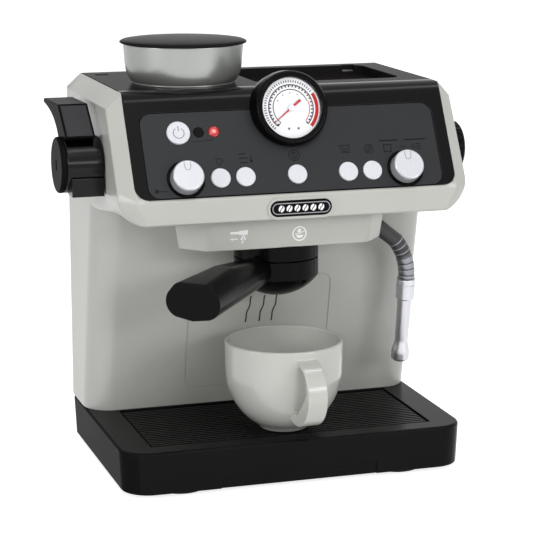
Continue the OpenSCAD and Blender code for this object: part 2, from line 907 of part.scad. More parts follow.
module rear_cover() {
    slots = 7;
    color(grey)
        difference() {
            translate([0, rear_y, 0])
                rotate([90, 0, 0])
                    linear_extrude(rear_t)
                        polygon([[-half_w, deck_z], [half_w, deck_z], [half_w, top_z - strip_drop],
                            [panel_hw, top_z], [-panel_hw, top_z], [-half_w, top_z - strip_drop]]);
            at_rear_posts()
                translate([0, 0, -rear_t - 1]) {
                    cylinder(d = screw_dia + 2 * turn_gap, h = 10);
                    cylinder(d = screw_head_dia + 2 * fit, h = 1 + 1.6);
                }
            for (i = [0:slots - 1])
                translate([-speaker_dia / 2 + 4, 0, speaker_z() + (i - (slots - 1) / 2) * 5])
                    cube([speaker_dia - 8, far, 2]);
        }
}

module rear_screws() {
    color(steel)
        at_rear_posts()
            translate([0, 0, -rear_t + 0.6])
                difference() {
                    union() {
                        cylinder(d = screw_head_dia, h = 1);
                        cylinder(d = screw_dia, h = screw_l);
                    }
                    cross_slot();
                }
}

// Form of the brow pulled in by t on its sides and front, from z0 up to z1
module brow_form(t, z0, z1) {
    hull() {
        for (z = [z0, z1 - 0.2], sx = [-1, 1]) {
            g = brow_flare * (z - brow_z) / brow_h;
            translate([sx * (brow_hw - 0.45 * brow_r + 0.7 * g), brow_y + brow_r, z])
                cylinder(r = brow_r - t, h = 0.2, $fn = 48);
            translate([sx * (brow_hw + brow_wing - 4 + g), brow_y + brow_wing_d, z])
                cylinder(r = 4 - t, h = 0.2, $fn = 32);
        }
    }
    translate([-brow_neck + t, brow_y + brow_wing_d, z0])
        cube([2 * (brow_neck - t), far / 2, z1 - z0]);
}

module brow_housing() {
    color(grey)
        difference() {
            brow_form(0, brow_z, hood_bottom);
            difference() {
                brow_form(shell_t, brow_z + shell_t, hood_bottom + 1);
                translate([brow_neck - 10, -wand_y - 8, 0])
                    cube([20, 16, far]);
            }
            translate([0, column_y, deck_z])
                rotate([column_rake, 0, 0])
                    translate([-far, 0, -60])
                        cube([2 * far, far, far]);
            translate([brow_neck - 7, -wand_y, wand_pos_z])
                rotate([0, 90, 0])
                    cylinder(d = wand_pin_dia + 2 * turn_gap, h = 40);
        }
}

module control_panel() {
    color(black)
        difference() {
            intersection() {
                difference() {
                    across(panel_hw - fit)
                        roll_profile(0);
                    across(far)
                        roll_profile(panel_t);
                }
                union() {
                    on_panel(0, fit, -far)
                        linear_extrude(2 * far)
                            panel_outline(-fit);
                    translate([-panel_hw, top_y + 20, 0])
                        cube([base_w, 10, far]);
                }
                translate([-panel_hw, front_y - 10, 0])
                    cube([base_w, tray_y0 - front_y + 10 - fit, far]);
            }
            on_panel(0, inlay_v + inlay_h / 2, -inlay_t)
                linear_extrude(20)
                    rounded_rect(2 * (inlay_hw + fit), inlay_h + 2 * fit, inlay_r);
            panel_holes(-10);
            on_panel(0, gauge_v - boss_drop, -10)
                cylinder(r = gauge_boss_r, h = 20);
        }
    // Posts that carry the circuit board
    color(black)
        for (x = [-button_x2 - 8, 0, button_x2 + 2])
            on_panel(x, post_v, -board_off())
                cylinder(d = 5, h = board_off() - panel_t + 0.2);
}

// Holes for the buttons, knob shafts, lens and window, from depth z0 outwards
module panel_holes(z0) {
    for (x = [-button_x2, -button_x1, 0, button_x1, button_x2])
        on_panel(x, button_v, z0)
            cylinder(d = button_dia + 2 * button_gap, h = 20);
    on_panel(-power_x, power_v, z0)
        cylinder(d = power_dia + 2 * button_gap, h = 20);
    for (s = [-1, 1])
        on_panel(s * knob_x, knob_v, z0)
            cylinder(d = knob_shaft_dia + 2 * turn_gap, h = 20);
    on_panel(-window_x, power_v, z0)
        cylinder(d = window_dia + 2 * fit, h = 20);
    on_panel(-lamp_x, power_v, z0)
        cylinder(d = lamp_dia + 2 * fit, h = 20);
}

module panel_inlay() {
    color(dark_grey)
        difference() {
            on_panel(0, inlay_v + inlay_h / 2, -inlay_t)
                linear_extrude(inlay_t - 0.2)
                    rounded_rect(2 * inlay_hw, inlay_h, inlay_r);
            panel_holes(-10);
            on_panel(0, gauge_v - boss_drop, -10)
                cylinder(r = gauge_boss_r, h = 20);
        }
}

// Push button of diameter d: cap, flange behind the panel and stem
module push_button(x, v, d) {
    color(pearl)
        on_panel(x, v, 0) {
            translate([0, 0, -panel_t - 1])
                turned([[0, 0], [d / 2, 0], [d / 2, panel_t + 1 + button_proud - 0.5],
                    [d / 2 - 0.5, panel_t + 1 + button_proud], [0, panel_t + 1 + button_proud]]);
            translate([0, 0, -panel_t - rest_gap - flange_t])
                cylinder(d = d + 3, h = flange_t);
            translate([0, 0, -board_off() + switch_h() + button_travel + rest_gap])
                cylinder(d = 4, h = board_off() - switch_h() - button_travel - rest_gap - panel_t);
        }
}

// Height of the board's posts above the panel's lower edge
post_v = 25.6;

// Distance of the circuit board's front behind the panel's face
function board_off() = panel_t + 14;

// Height of a switch on the circuit board
function switch_h() = 5;

module power_button() { push_button(-power_x, power_v, power_dia); }
module button_1() { push_button(-button_x2, button_v, button_dia); }
module button_2() { push_button(-button_x1, button_v, button_dia); }
module button_3() { push_button(0, button_v, button_dia); }
module button_4() { push_button(button_x1, button_v, button_dia); }
module button_5() { push_button(button_x2, button_v, button_dia); }

// Dial knob with its shaft through the panel
module dial_knob(s) {
    color(pearl)
        on_panel(s * knob_x, knob_v, 0) {
            translate([0, 0, rest_gap - 0.2])
                turned([[0, 0], [knob_dia / 2, 0], [knob_dia / 2 - 0.2, knob_proud - rest_gap - 0.4],
                    [knob_dia / 2 - 0.8, knob_proud - rest_gap + 0.2], [0, knob_proud - rest_gap + 0.2]]);
            translate([0, 0, -panel_t - rest_gap - 4])
                cylinder(d = knob_shaft_dia, h = panel_t + rest_gap + 4 + 1);
        }
}

module dial_knob_left() { dial_knob(-1); }
module dial_knob_right() { dial_knob(1); }

// Ring that holds the shaft of the dial knob on side s behind the panel
module knob_retainer(s) {
    color(steel)
        on_panel(s * knob_x, knob_v, -panel_t - rest_gap - 1.4)
            difference() {
                cylinder(d = knob_shaft_dia + 5, h = 1.4);
                translate([0, 0, -1])
                    cylinder(d = knob_shaft_dia, h = 4);
            }
}

module knob_retainer_left() { knob_retainer(-1); }
module knob_retainer_right() { knob_retainer(1); }

module lamp_lens() {
    color("red")
        on_panel(-lamp_x, power_v, -panel_t)
            turned([[0, 0], [lamp_dia / 2, 0], [lamp_dia / 2, panel_t], [lamp_dia / 2 - 1, panel_t + 0.5],
                [0, panel_t + 0.7]]);
}

module dark_window() {
    color(black)
        on_panel(-window_x, power_v, -panel_t)
            cylinder(d = window_dia, h = panel_t);
}

// ---- Gauge ----

// Turns children to the gauge's own lean, with z = 0 at the dial's face
module on_gauge(off = 0) {
    on_panel(0, gauge_v, gauge_off)
        rotate([panel_lean - gauge_lean, 0, 0])
            translate([0, 0, off])
                children();
}

module gauge_housing() {
    color(black) {
        difference() {
            on_gauge()
                turned([[0, -gauge_back], [gauge_r - 3, -gauge_back], [gauge_r, -gauge_back + 3],
                    [gauge_r, -5], [gauge_rim_r + 1, rim_h - 1.6], [gauge_rim_r, rim_h - 0.3],
                    [gauge_rim_r - 0.9, rim_h], [dial_r + 1, rim_h], [dial_r + fit, rim_h - 0.8],
                    [dial_r + fit, -dial_t], [0, -dial_t]]);
            across(far)
                roll_profile(0);
            on_gauge(-6)
                cylinder(d = needle_pin_dia + 2 * turn_gap, h = 8);
        }
        on_panel(0, gauge_v - boss_drop, -panel_t - 1)
            cylinder(r = gauge_boss_r - fit, h = panel_t + 1 + eps);
    }
}

module gauge_dial() {
    color("white")
        on_gauge(-dial_t)
            difference() {
                cylinder(r = dial_r, h = dial_t);
                translate([0, 0, -1])
                    cylinder(d = needle_pin_dia + 2 * turn_gap, h = 4);
            }
}

module gauge_needle() {
    color("red")
        on_gauge(rest_gap)
            rotate([0, 0, needle_angle]) {
                translate([-0.9, -needle_tail, 0])
                    cube([1.8, needle_tail + 2, 0.5]);
                linear_extrude(0.5)
                    polygon([[-0.9, 0], [0.9, 0], [0.25, needle_len], [-0.25, needle_len]]);
                cylinder(d = 4.4, h = 0.8);
                translate([0, 0, -5])
                    cylinder(d = needle_pin_dia, h = 5.4);
            }
}

module gauge_lens() {
    color([0.9, 0.95, 1, 0.3])
        on_gauge(rim_h - 0.8 - dial_t)
            cylinder(r = dial_r, h = dial_t);
}

module badge_plate() {
    color(black)
        translate([0, hood_y, badge_z()])
            rotate([90, 0, 0])
                linear_extrude(badge_t)
                    rounded_rect(badge_l, badge_h, badge_h / 2 - eps);
}

// ---- Top ----

module top_tray() {
    y0 = tray_y0 + tray_front_rim;
    y1 = tray_y1 - tray_back_rim;
    color(black)
        difference() {
            union() {
                translate([-panel_hw + fit, tray_y0, top_z - panel_t])
                    cube([2 * (panel_hw - fit), tray_y1 - tray_y0, panel_t]);
                translate([(recess_x0 + recess_x1) / 2, (y0 + y1) / 2, top_z - recess_depth - 2])
                    linear_extrude(recess_depth + 1)
                        rounded_rect(recess_x1 - recess_x0 + 4, y1 - y0 + 4, recess_r + 2);
            }
            translate([(recess_x0 + recess_x1) / 2, (y0 + y1) / 2, top_z - recess_depth])
                linear_extrude(far)
                    rounded_rect(recess_x1 - recess_x0, y1 - y0, recess_r);
            translate([-panel_hw + 6, tray_y1 - 16, top_z - 2])
                cube([8, 4, 4]);
            translate([recess_x1 - 12, y1 - 1, top_z - 4])
                cube([8, 4, 10]);
            translate([-hopper_x, hopper_y, top_z - far])
                cylinder(r = hopper_foot_r - 6, h = 2 * far);
        }
}

// Outer radius outline of the hopper bowl, from its foot up
function bowl_outline(t) = concat(
    [[hopper_foot_r - t, t > 0 ? t : 0], [hopper_foot_r - t, 0.8 + t]],
    [for (a = [20:14:90]) [hopper_low_r - hopper_turn_r + (hopper_turn_r - t) * sin(a),
        hopper_turn_r + 0.4 - (hopper_turn_r - t) * cos(a)]],
    [[hopper_rim_r - t, hopper_h - 1.2], [hopper_rim_r - t, hopper_h]]
);

module hopper_bowl() {
    color(silver)
        translate([-hopper_x, hopper_y, top_z])
            difference() {
                union() {
                    turned(concat([[0, 0]], bowl_outline(0), [[0, hopper_h]]));
                    translate([0, 0, -panel_t])
                        cylinder(r = hopper_foot_r - 6 - fit, h = panel_t + 1);
                }
                translate([0, 0, hopper_wall])
                    turned(concat([[0, 0]], [[hopper_foot_r - 3, 0]],
                        [for (a = [40:10:90]) [hopper_low_r - hopper_turn_r
                            + (hopper_turn_r - hopper_wall) * sin(a),
                            hopper_turn_r - hopper_wall - (hopper_turn_r - hopper_wall) * cos(a)]],
                        [[hopper_rim_r - hopper_wall, hopper_h], [0, hopper_h]]));
            }
}

module hopper_lid() {
    plug_outer = hopper_rim_r - hopper_wall - 0.6;
    color(black)
        translate([-hopper_x, hopper_y, top_z + hopper_h + rest_gap])
            difference() {
                turned(concat([[0, -lid_plug_h], [plug_outer - 0.8, -lid_plug_h], [plug_outer - 0.4, 0],
                    [lid_r - 0.5, 0], [lid_r, 0.5], [lid_r, lid_edge_h - 0.5], [lid_r - 0.6, lid_edge_h]],
                    [for (a = [1:8]) [(lid_r - 0.6) * cos(a * 90 / 8), lid_edge_h + lid_dome_h * sin(a * 90 / 8)]]));
                translate([0, 0, -lid_plug_h - 1])
                    cylinder(r = plug_outer - 2.6, h = lid_plug_h + 1);
            }
}

// ---- Sides ----

// Point on a curve from a to c, bent towards b
function curve(a, b, c, t) = a * pow(1 - t, 2) + b * 2 * t * (1 - t) + c * pow(t, 2);

// Side outline of the lever's paddle about its pivot, as (y, z)
paddle_points = concat(
    [[-16.4, 2], [-13, 17.8], [8, 34.6], [49, 33.6], [49.6, 32.6], [49.4, 31]],
    [for (t = [0.1:0.1:1]) curve([49.4, 31], [15, 28], [7, 13], t)]
);

module side_lever() {
    x0 = -half_w - side_gap - barrel_l + cap_t;
    x1 = -half_w - side_gap;
    px = -half_w - side_gap - barrel_l + paddle_in;
    color(black)
        difference() {
            union() {
                on_side_axis(x0)
                    cylinder(r = barrel_r, h = x1 - x0);
                on_side_axis(px)
                    linear_extrude(paddle_w)
                        polygon(paddle_points);
                on_side_axis(x1 - 18)
                    linear_extrude(15)
                        translate([-barrel_r, -barrel_r - 0.4])
                            square([barrel_r, 11]);
                on_side_axis(x1 - 1)
                    cylinder(d = side_shaft_dia, h = 1 + side_gap + shell_t + 0.2 + retainer_t);
            }
            // Panel let into the paddle's front
            on_side_axis(px + 2)
                linear_extrude(paddle_w - 4)
                    polygon([[-13.4, 19.2], [-12.4, 18.2], [5.6, 32.6], [4.6, 33.8]]);
            on_side_axis(x0 - 1)
                cylinder(r = 6, h = 9);
        }
}

module lever_cap() {
    x0 = -half_w - side_gap - barrel_l;
    color(black)
        difference() {
            on_side_axis(x0)
                turned([[0, 0], [barrel_r - 0.8, 0], [barrel_r, 0.8], [barrel_r, cap_t - 0.5],
                    [barrel_r - 0.4, cap_t], [5.8, cap_t], [5.8, cap_t + 6], [0, cap_t + 6]]);
            on_side_axis(x0 - 1)
                translate([-1.2, -3])
                    cube([2.4, 6, 3]);
        }
}

// Ring that holds a side shaft inside the housing, on side s
module side_retainer(s) {
    x = s * (half_w - shell_t - 0.2 - retainer_t / 2);
    color(steel)
        on_side_axis(x)
            difference() {
                cylinder(d = side_shaft_dia + 8, h = retainer_t, center = true);
                cylinder(d = side_shaft_dia, h = 10, center = true);
            }
}

module lever_retainer() { side_retainer(-1); }
module side_knob_retainer() { side_retainer(1); }

module side_knob() {
    color(black)
        difference() {
            on_side_axis(half_w + side_gap)
                difference() {
                    union() {
                        turned([[0, 0], [side_knob_r - 1, 0], [side_knob_r, 1], [side_knob_r, side_knob_t - 1.5],
                            [side_knob_r - 1.5, side_knob_t], [0, side_knob_t]]);
                        translate([0, 0, -side_gap - shell_t - 0.2 - retainer_t])
                            cylinder(d = side_shaft_dia, h = side_gap + shell_t + retainer_t + 1);
                    }
                    translate([0, 0, -eps])
                        difference() {
                            cylinder(r = side_knob_r - 3, h = side_knob_t - 2.5);
                            cylinder(r = side_shaft_dia / 2 + 2, h = side_knob_t);
                        }
                    for (i = [0:side_knob_ribs - 1])
                        rotate([0, 0, i * 360 / side_knob_ribs])
                            translate([side_knob_r + 0.5, 0, -1])
                                cylinder(r = 1.2, h = side_knob_t + 2, $fn = 16);
                }
        }
}

// ---- Group head and portafilter ----

module group_head() {
    color(black)
        translate([0, -head_y, brow_z - head_h])
            difference() {
                cylinder(r = head_r, h = head_h);
                translate([0, 0, -1])
                    cylinder(r = plug_r + turn_gap, h = plug_h + 1 + rest_gap);
                translate([0, head_y + column_y, deck_z - brow_z + head_h])
                    rotate([column_rake, 0, 0])
                        translate([-far, 0, 0])
                            cube([2 * far, far, far]);
            }
}

// Turns children about the group head's axis so that -y points along the handle
module on_handle() {
    translate([0, -head_y, 0])
        rotate([0, 0, -handle_az])
            children();
}

module portafilter_ring() {
    plug_top = ring_h + head_gap + plug_h;
    inner_r = plug_r - filter_wall;
    color(black)
        on_handle() {
            translate([0, 0, ring_bottom])
                turned(concat([[3, -bowl_h + filter_wall], [3, -bowl_h]],
                    [for (a = [10:10:80]) [(head_r - 0.4) * sin(a), -bowl_h * cos(a)]],
                    [[head_r - 0.4, 0], [head_r, 0.4], [head_r, ring_h], [plug_r, ring_h],
                    [plug_r, plug_top], [inner_r, plug_top], [inner_r, -bowl_h / 3],
                    [inner_r * 0.6, -bowl_h + filter_wall + 1.6]]));
            translate([0, -head_r + 2, ring_mid])
                rotate([90, 0, 0])
                    cylinder(d = neck_dia, h = 6);
        }
}

// Section of the handle: w wide, from z0 up to z1, with a flat back and a rounded belly
module handle_section(w, z0, z1) {
    h = z1 - z0;
    rotate([90, 0, 0]) {
        for (sx = [-1, 1]) {
            translate([sx * (w / 2 - 0.45 * h), z1 - 0.3 * h])
                cylinder(r = 0.3 * h, h = 1, $fn = 24);
            translate([sx * (w / 2 - 0.42 * h), z0 + 0.48 * h])
                cylinder(r = 0.42 * h, h = 1, $fn = 24);
            translate([sx * (w / 2 - 0.3 * h), z0 + 0.32 * h])
                cylinder(r = 0.2 * h, h = 1, $fn = 24);
        }
        translate([0, z0 + 1])
            cylinder(r = 1, h = 1, $fn = 24);
    }
}

module portafilter_handle() {
    root = head_r + 4.4;
    mid = (root + handle_reach) / 2;
    z0 = ring_mid - handle_drop / 2 - handle_root_h / 2;
    z1 = ring_mid - handle_drop - handle_end_h / 2;
    color(black)
        on_handle()
            difference() {
                hull() {
                    translate([0, -root, 0])
                        handle_section(handle_root_w, z0, z0 + handle_root_h);
                    translate([0, -mid, 0])
                        handle_section((handle_root_w + handle_end_w) / 2, (z0 + z1) / 2,
                            (z0 + z1 + handle_root_h + handle_end_h) / 2 + handle_arch);
                    translate([0, 1 - handle_reach, 0])
                        handle_section(handle_end_w, z1, z1 + handle_end_h);
                }
                translate([0, -head_r, ring_mid])
                    rotate([90, 0, 0])
                        cylinder(d = neck_dia + 2 * fit, h = 4.15);
            }
}

// ---- Steam wand ----

// Turns children to the wand's rest lean about its pivot line
module on_wand() {
    translate([wand_root_x, -wand_y, wand_pos_z])
        rotate([wand_lean, 0, 0])
            children();
}

// Centre and lower end of the hose's bend, in the wand's own plane
bend_centre = [hose_first * cos(hose_fall) - hose_bend_r * sin(hose_fall),
    -hose_first * sin(hose_fall) - hose_bend_r * cos(hose_fall)];
hose_end = bend_centre + [hose_bend_r, 0];

// Stretch of the hose's bend from angle a0 over angle a, d thick
module bend(a0, a, d) {
    translate([bend_centre[0], 0, bend_centre[1]])
        rotate([90, 0, 0])
            rotate([0, 0, a0])
                rotate_extrude(angle = a, $fn = 96)
                    translate([hose_bend_r, 0])
                        circle(d = d);
}

module wand_hose() {
    turn = 90 - hose_fall;
    pitch = turn / (hose_rings + 1);
    color(steel)
        on_wand() {
            rotate([0, 90, 0])
                translate([0, 0, -5])
                    cylinder(d = wand_pin_dia, h = 7);
            difference() {
                rotate([0, 90 + hose_fall, 0])
                    cylinder(d = hose_dia, h = hose_first + 0.3);
                translate([-hose_dia, -hose_dia, -hose_dia])
                    cube([hose_dia, 2 * hose_dia, 2 * hose_dia]);
            }
            bend(0, turn, hose_dia - 0.8);
            for (i = [0:hose_rings])
                bend(i * pitch, pitch * 0.74, hose_dia);
        }
}

module wand_collar() {
    r = collar_dia / 2;
    color(silver)
        on_wand()
            translate([hose_end[0], 0, hose_end[1] - collar_l])
                turned([[0, 0], [r - 0.6, 0], [r, 0.6], [r, collar_l * 0.68], [r - 0.5, collar_l * 0.68],
                    [r - 0.5, collar_l * 0.73], [r, collar_l * 0.73], [r, collar_l - 0.6],
                    [r - 0.6, collar_l], [0, collar_l]]);
}

module wand_nozzle() {
    r0 = nozzle_dia / 2;
    r1 = bell_dia / 2;
    color(silver)
        on_wand()
            translate([hose_end[0], 0, hose_end[1] - collar_l - nozzle_l])
                difference() {
                    turned(concat([[0, 0], [r1 - 1.2, 0], [r1, 1.2], [r1, 5]],
                        [for (t = [0.2:0.2:1]) [r1 + (r0 - 0.3 - r1) * (1 - cos(180 * t)) / 2, 5 + 9 * t]],
                        [[r0, nozzle_l], [0, nozzle_l]]));
                    translate([0, 0, -1])
                        cylinder(d = 4, h = 5);
                }
}

// ---- Cup ----

// Radius of the cup's outer wall at height z above its foot, pulled in by t
cup_mid = 37;
function cup_wall_r(z, t) = (cup_r - 0.4 - t) * sqrt(max(0, 1 - pow((cup_mid - z) / (cup_mid + 1.5 - t), 2)));

// Side outline of the cup's handle, as (y, z) from the cup's axis and foot
module cup_loop() {
    up = [-cup_r - 2.6, loop_z + 6];
    low = [-cup_r + 3, loop_z - 8.6];
    r_up = loop_r - strap_t - 5.4;
    r_low = 5;
    gap = low - up;
    turn = atan2(gap[1], gap[0]) - acos((r_up - r_low) / norm(gap));
    edge = [cos(turn), sin(turn)];
    difference() {
        translate([-cup_r + 3, loop_z])
            circle(loop_r);
        translate(up)
            circle(r_up);
        translate(low)
            circle(r_low);
        polygon([up, up + edge * r_up, low + edge * r_low, low, [-cup_foot_r, low[1]], [-cup_foot_r, up[1]]]);
    }
}

module cup() {
    color(grey)
        translate([0, -cup_y, cup_z0])
            rotate([0, 0, cup_az]) {
                difference() {
                    union() {
                        turned(concat([[0, 0], [cup_foot_r - 0.5, 0], [cup_foot_r, 0.5]],
                            [for (z = [3:3.4:cup_mid]) [cup_wall_r(z, 0), z]],
                            [[cup_r - 0.4, cup_mid], [cup_r, cup_h - 0.6], [cup_r - 0.6, cup_h], [0, cup_h]]));
                        translate([-strap_w / 2, 0, 0])
                            rotate([90, 0, 90])
                                linear_extrude(strap_w)
                                    cup_loop();
                    }
                    turned(concat([[0, cup_wall]],
                        [for (z = [cup_wall + 0.3:3.4:cup_mid]) [cup_wall_r(z, cup_wall), z]],
                        [[cup_r - 0.4 - cup_wall, cup_mid], [cup_r - cup_wall, cup_h + 1], [0, cup_h + 1]]));
                }
            }
}

// ---- Electronics ----

// Height of the loudspeaker's centre
function speaker_z() = deck_z + speaker_up;

module circuit_board() {
    color([0.1, 0.4, 0.2])
        on_panel(0, 0, -board_off() - board_t)
            translate([-power_x - 12, 4, 0])
                cube([power_x + 12 + button_x2 + 10, power_v + 6, board_t]);
}

module tact_switches() {
    color(dark_grey)
        for (p = [[-power_x, power_v], [-button_x2, button_v], [-button_x1, button_v],
            [0, button_v], [button_x1, button_v], [button_x2, button_v]])
            on_panel(p[0], p[1], -board_off()) {
                translate([-3, -3, 0])
                    cube([6, 6, switch_h() - 1.2]);
                cylinder(d = 3.4, h = switch_h());
            }
}

module speaker() {
    color(dark_grey)
        translate([0, shell_rear_y, speaker_z()])
            rotate([90, 0, 0])
                turned([[0, 0], [speaker_dia / 2, 0], [speaker_dia / 2, 2], [speaker_dia / 2 - 3, 2],
                    [speaker_dia / 4, 9], [speaker_dia / 4, 14], [0, 14]]);
}

in_frame() base_housing();
in_frame() bottom_cover();
in_frame() battery_door();
in_frame() battery_door_screw();
in_frame() base_screws();
in_frame() foot_front_left();
in_frame() foot_front_right();
in_frame() foot_back_left();
in_frame() foot_back_right();
in_frame() battery_1();
in_frame() battery_2();
in_frame() battery_3();
in_frame() battery_contacts();
in_frame() drip_grille();
in_frame() main_housing();
in_frame() rear_cover();
in_frame() rear_screws();
in_frame() brow_housing();
in_frame() control_panel();
in_frame() panel_inlay();
in_frame() power_button();
in_frame() button_1();
in_frame() button_2();
in_frame() button_3();
in_frame() button_4();
in_frame() button_5();
in_frame() dial_knob_left();
in_frame() dial_knob_right();
in_frame() knob_retainer_left();
in_frame() knob_retainer_right();
in_frame() lamp_lens();
in_frame() dark_window();
in_frame() gauge_housing();
in_frame() gauge_dial();
in_frame() gauge_needle();
in_frame() gauge_lens();
in_frame() badge_plate();
in_frame() top_tray();
in_frame() hopper_bowl();
in_frame() hopper_lid();
in_frame() side_lever();
in_frame() lever_cap();
in_frame() lever_retainer();
in_frame() side_knob();
in_frame() side_knob_retainer();
in_frame() group_head();
in_frame() portafilter_ring();
in_frame() portafilter_handle();
in_frame() wand_hose();
in_frame() wand_collar();
in_frame() wand_nozzle();
in_frame() cup();
in_frame() circuit_board();
in_frame() tact_switches();
in_frame() speaker();
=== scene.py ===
import json
import math

import bmesh
import bpy
from mathutils import Matrix, Vector

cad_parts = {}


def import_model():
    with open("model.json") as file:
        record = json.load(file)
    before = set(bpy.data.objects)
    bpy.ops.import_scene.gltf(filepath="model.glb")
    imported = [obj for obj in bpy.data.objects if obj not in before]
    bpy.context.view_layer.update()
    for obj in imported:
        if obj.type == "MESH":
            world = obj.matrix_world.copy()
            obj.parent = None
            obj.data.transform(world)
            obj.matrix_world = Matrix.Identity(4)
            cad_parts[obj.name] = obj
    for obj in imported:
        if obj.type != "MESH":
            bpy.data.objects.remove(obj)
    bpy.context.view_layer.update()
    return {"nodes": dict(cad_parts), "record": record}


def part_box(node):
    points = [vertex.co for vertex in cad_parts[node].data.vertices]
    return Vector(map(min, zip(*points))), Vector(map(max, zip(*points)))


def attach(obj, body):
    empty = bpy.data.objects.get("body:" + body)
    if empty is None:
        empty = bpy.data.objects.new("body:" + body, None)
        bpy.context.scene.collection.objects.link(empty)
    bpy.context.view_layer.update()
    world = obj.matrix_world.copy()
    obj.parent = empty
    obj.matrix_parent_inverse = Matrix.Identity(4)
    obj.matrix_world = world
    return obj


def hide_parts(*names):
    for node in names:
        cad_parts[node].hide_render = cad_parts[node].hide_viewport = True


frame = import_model()

MM = 0.001
BODIES = frame["record"]["behaviour"]["bodies"]
NODE_BODY = {node: body for body, nodes in BODIES.items() for node in nodes}

# The base stands in the middle of the source's own axes: OFFSET takes its millimetres to the frame
BASE_HALF_DEPTH = 71.5
LOW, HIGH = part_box("base_housing")
OFFSET = Vector(((LOW.x + HIGH.x) / 2, HIGH.y - BASE_HALF_DEPTH * MM, 0))


def at(x, y, z):
    """A point of the frame, in metres, from the source's millimetres."""
    return Vector((x, y, z)) * MM + OFFSET


def source_mm(point):
    """The source's millimetres of a point of the frame."""
    return (point - OFFSET) / MM


def ring_points(r, count):
    """Points round a circle of radius r, counter-clockwise."""
    steps = [2 * math.pi * i / count for i in range(count)]
    return [(r * math.cos(a), r * math.sin(a)) for a in steps]


class Plane:
    """A flat face: a point given in millimetres across, up and out of it."""

    def __init__(self, origin, across, up):
        self.origin = Vector(origin)
        self.across = Vector(across).normalized()
        self.up = Vector(up).normalized()
        self.out = self.across.cross(self.up)

    def __call__(self, u, v, off=0.0):
        p = self.origin + self.across * u + self.up * v + self.out * off
        return at(p.x, p.y, p.z)


def leaning(origin, degrees):
    """A face that looks to the front and leans back by this angle."""
    lean = math.radians(degrees)
    return Plane(origin, (1, 0, 0), (0, math.sin(lean), math.cos(lean)))


BROW_LOW = 141.8
PANEL = leaning((0, -70, 178.3), 28.7)
GAUGE = leaning((0, -51.81, 225.69), 16)
COLUMN = leaning((0, 24.5, 28.6), -12)
BROW = leaning((0, -48.6, BROW_LOW), 0)

# Places on the panel, across and up, the lamp's radius, and how far knobs and buttons stand out
LAMP_SPOT, LAMP_R = (-46.8, 40.3), 4.2
POWER_SPOT = (-68.2, 40.3)
KNOB_ACROSS, KNOB_UP = 67.5, 11.8
KNOB_PROUD, BUTTON_PROUD = 7.5, 1.0


# ---- Materials ----

def srgb(r, g, b):
    """A colour of the shader from the values of a picture, 0 to 255."""
    def channel(c):
        c /= 255
        return c / 12.92 if c <= 0.04045 else ((c + 0.055) / 1.055) ** 2.4
    return (channel(r), channel(g), channel(b), 1)


# How far the gloss drifts each way, and how high the moulded grain stands
GLOSS_DRIFT = 0.03
GRAIN_HEIGHT = 0.01 * MM


def plastic(name, colour, rough, tone=0.03, grain=2600.0, bump=0.15, metallic=0.0, mottle=22.0,
            specular=0.5):
    """Moulded plastic: a slow drift of tone and gloss, and a fine moulded grain."""
    m = bpy.data.materials.new(name)
    m.use_nodes = True
    t = m.node_tree
    n = t.nodes
    bsdf = n["Principled BSDF"]
    source = n.new("ShaderNodeTexCoord").outputs["Object"]
    drift = n.new("ShaderNodeTexNoise")
    drift.inputs["Scale"].default_value = mottle
    drift.inputs["Detail"].default_value = 3
    t.links.new(source, drift.inputs["Vector"])
    ramp = n.new("ShaderNodeValToRGB")
    ramp.color_ramp.elements[0].position = 0.3
    ramp.color_ramp.elements[1].position = 0.7
    ramp.color_ramp.elements[0].color = [c * (1 - tone) for c in colour[:3]] + [1]
    ramp.color_ramp.elements[1].color = [min(1, c * (1 + tone)) for c in colour[:3]] + [1]
    t.links.new(drift.outputs["Fac"], ramp.inputs["Fac"])
    t.links.new(ramp.outputs["Color"], bsdf.inputs["Base Color"])
    gloss = n.new("ShaderNodeMapRange")
    gloss.inputs["To Min"].default_value = rough - GLOSS_DRIFT
    gloss.inputs["To Max"].default_value = rough + GLOSS_DRIFT
    t.links.new(drift.outputs["Fac"], gloss.inputs["Value"])
    t.links.new(gloss.outputs["Result"], bsdf.inputs["Roughness"])
    fine = n.new("ShaderNodeTexNoise")
    fine.inputs["Scale"].default_value = grain
    fine.inputs["Detail"].default_value = 1
    t.links.new(source, fine.inputs["Vector"])
    relief = n.new("ShaderNodeBump")
    relief.inputs["Strength"].default_value = bump
    relief.inputs["Distance"].default_value = GRAIN_HEIGHT
    t.links.new(fine.outputs["Fac"], relief.inputs["Height"])
    t.links.new(relief.outputs["Normal"], bsdf.inputs["Normal"])
    bsdf.inputs["Metallic"].default_value = metallic
    bsdf.inputs["Specular IOR Level"].default_value = specular
    return m


GREY = plastic("grey_shell", srgb(184, 185, 179), rough=0.3, tone=0.012)
CUP_GREY = plastic("cup_grey", srgb(192, 193, 187), rough=0.16, tone=0.01)
BLACK = plastic("black_gloss", srgb(7, 7, 8), rough=0.2, tone=0.1, specular=0.06)
# A copy of the black that reflects almost nothing and so renders darker, for the base's left side
# and the lever's arm and cap: painted shade.
BLACK_SHADED = plastic("black_painted_shade", srgb(22, 22, 23), rough=0.26, tone=0.1, specular=0.003)
PANEL_BLACK = plastic("panel_black", srgb(6, 6, 7), rough=0.2, tone=0.1, specular=0.14)
# A copy of the black that reflects more, for the lever's barrel, so that it shows brighter
# highlight bands than the arm: painted highlight.
BARREL_BLACK_LIT = plastic("barrel_black_painted_highlight", srgb(3, 3, 4), rough=0.2, tone=0.1, specular=0.2)
BASE_BLACK = plastic("base_black", srgb(19, 19, 20), rough=0.2, tone=0.1, specular=0.04)
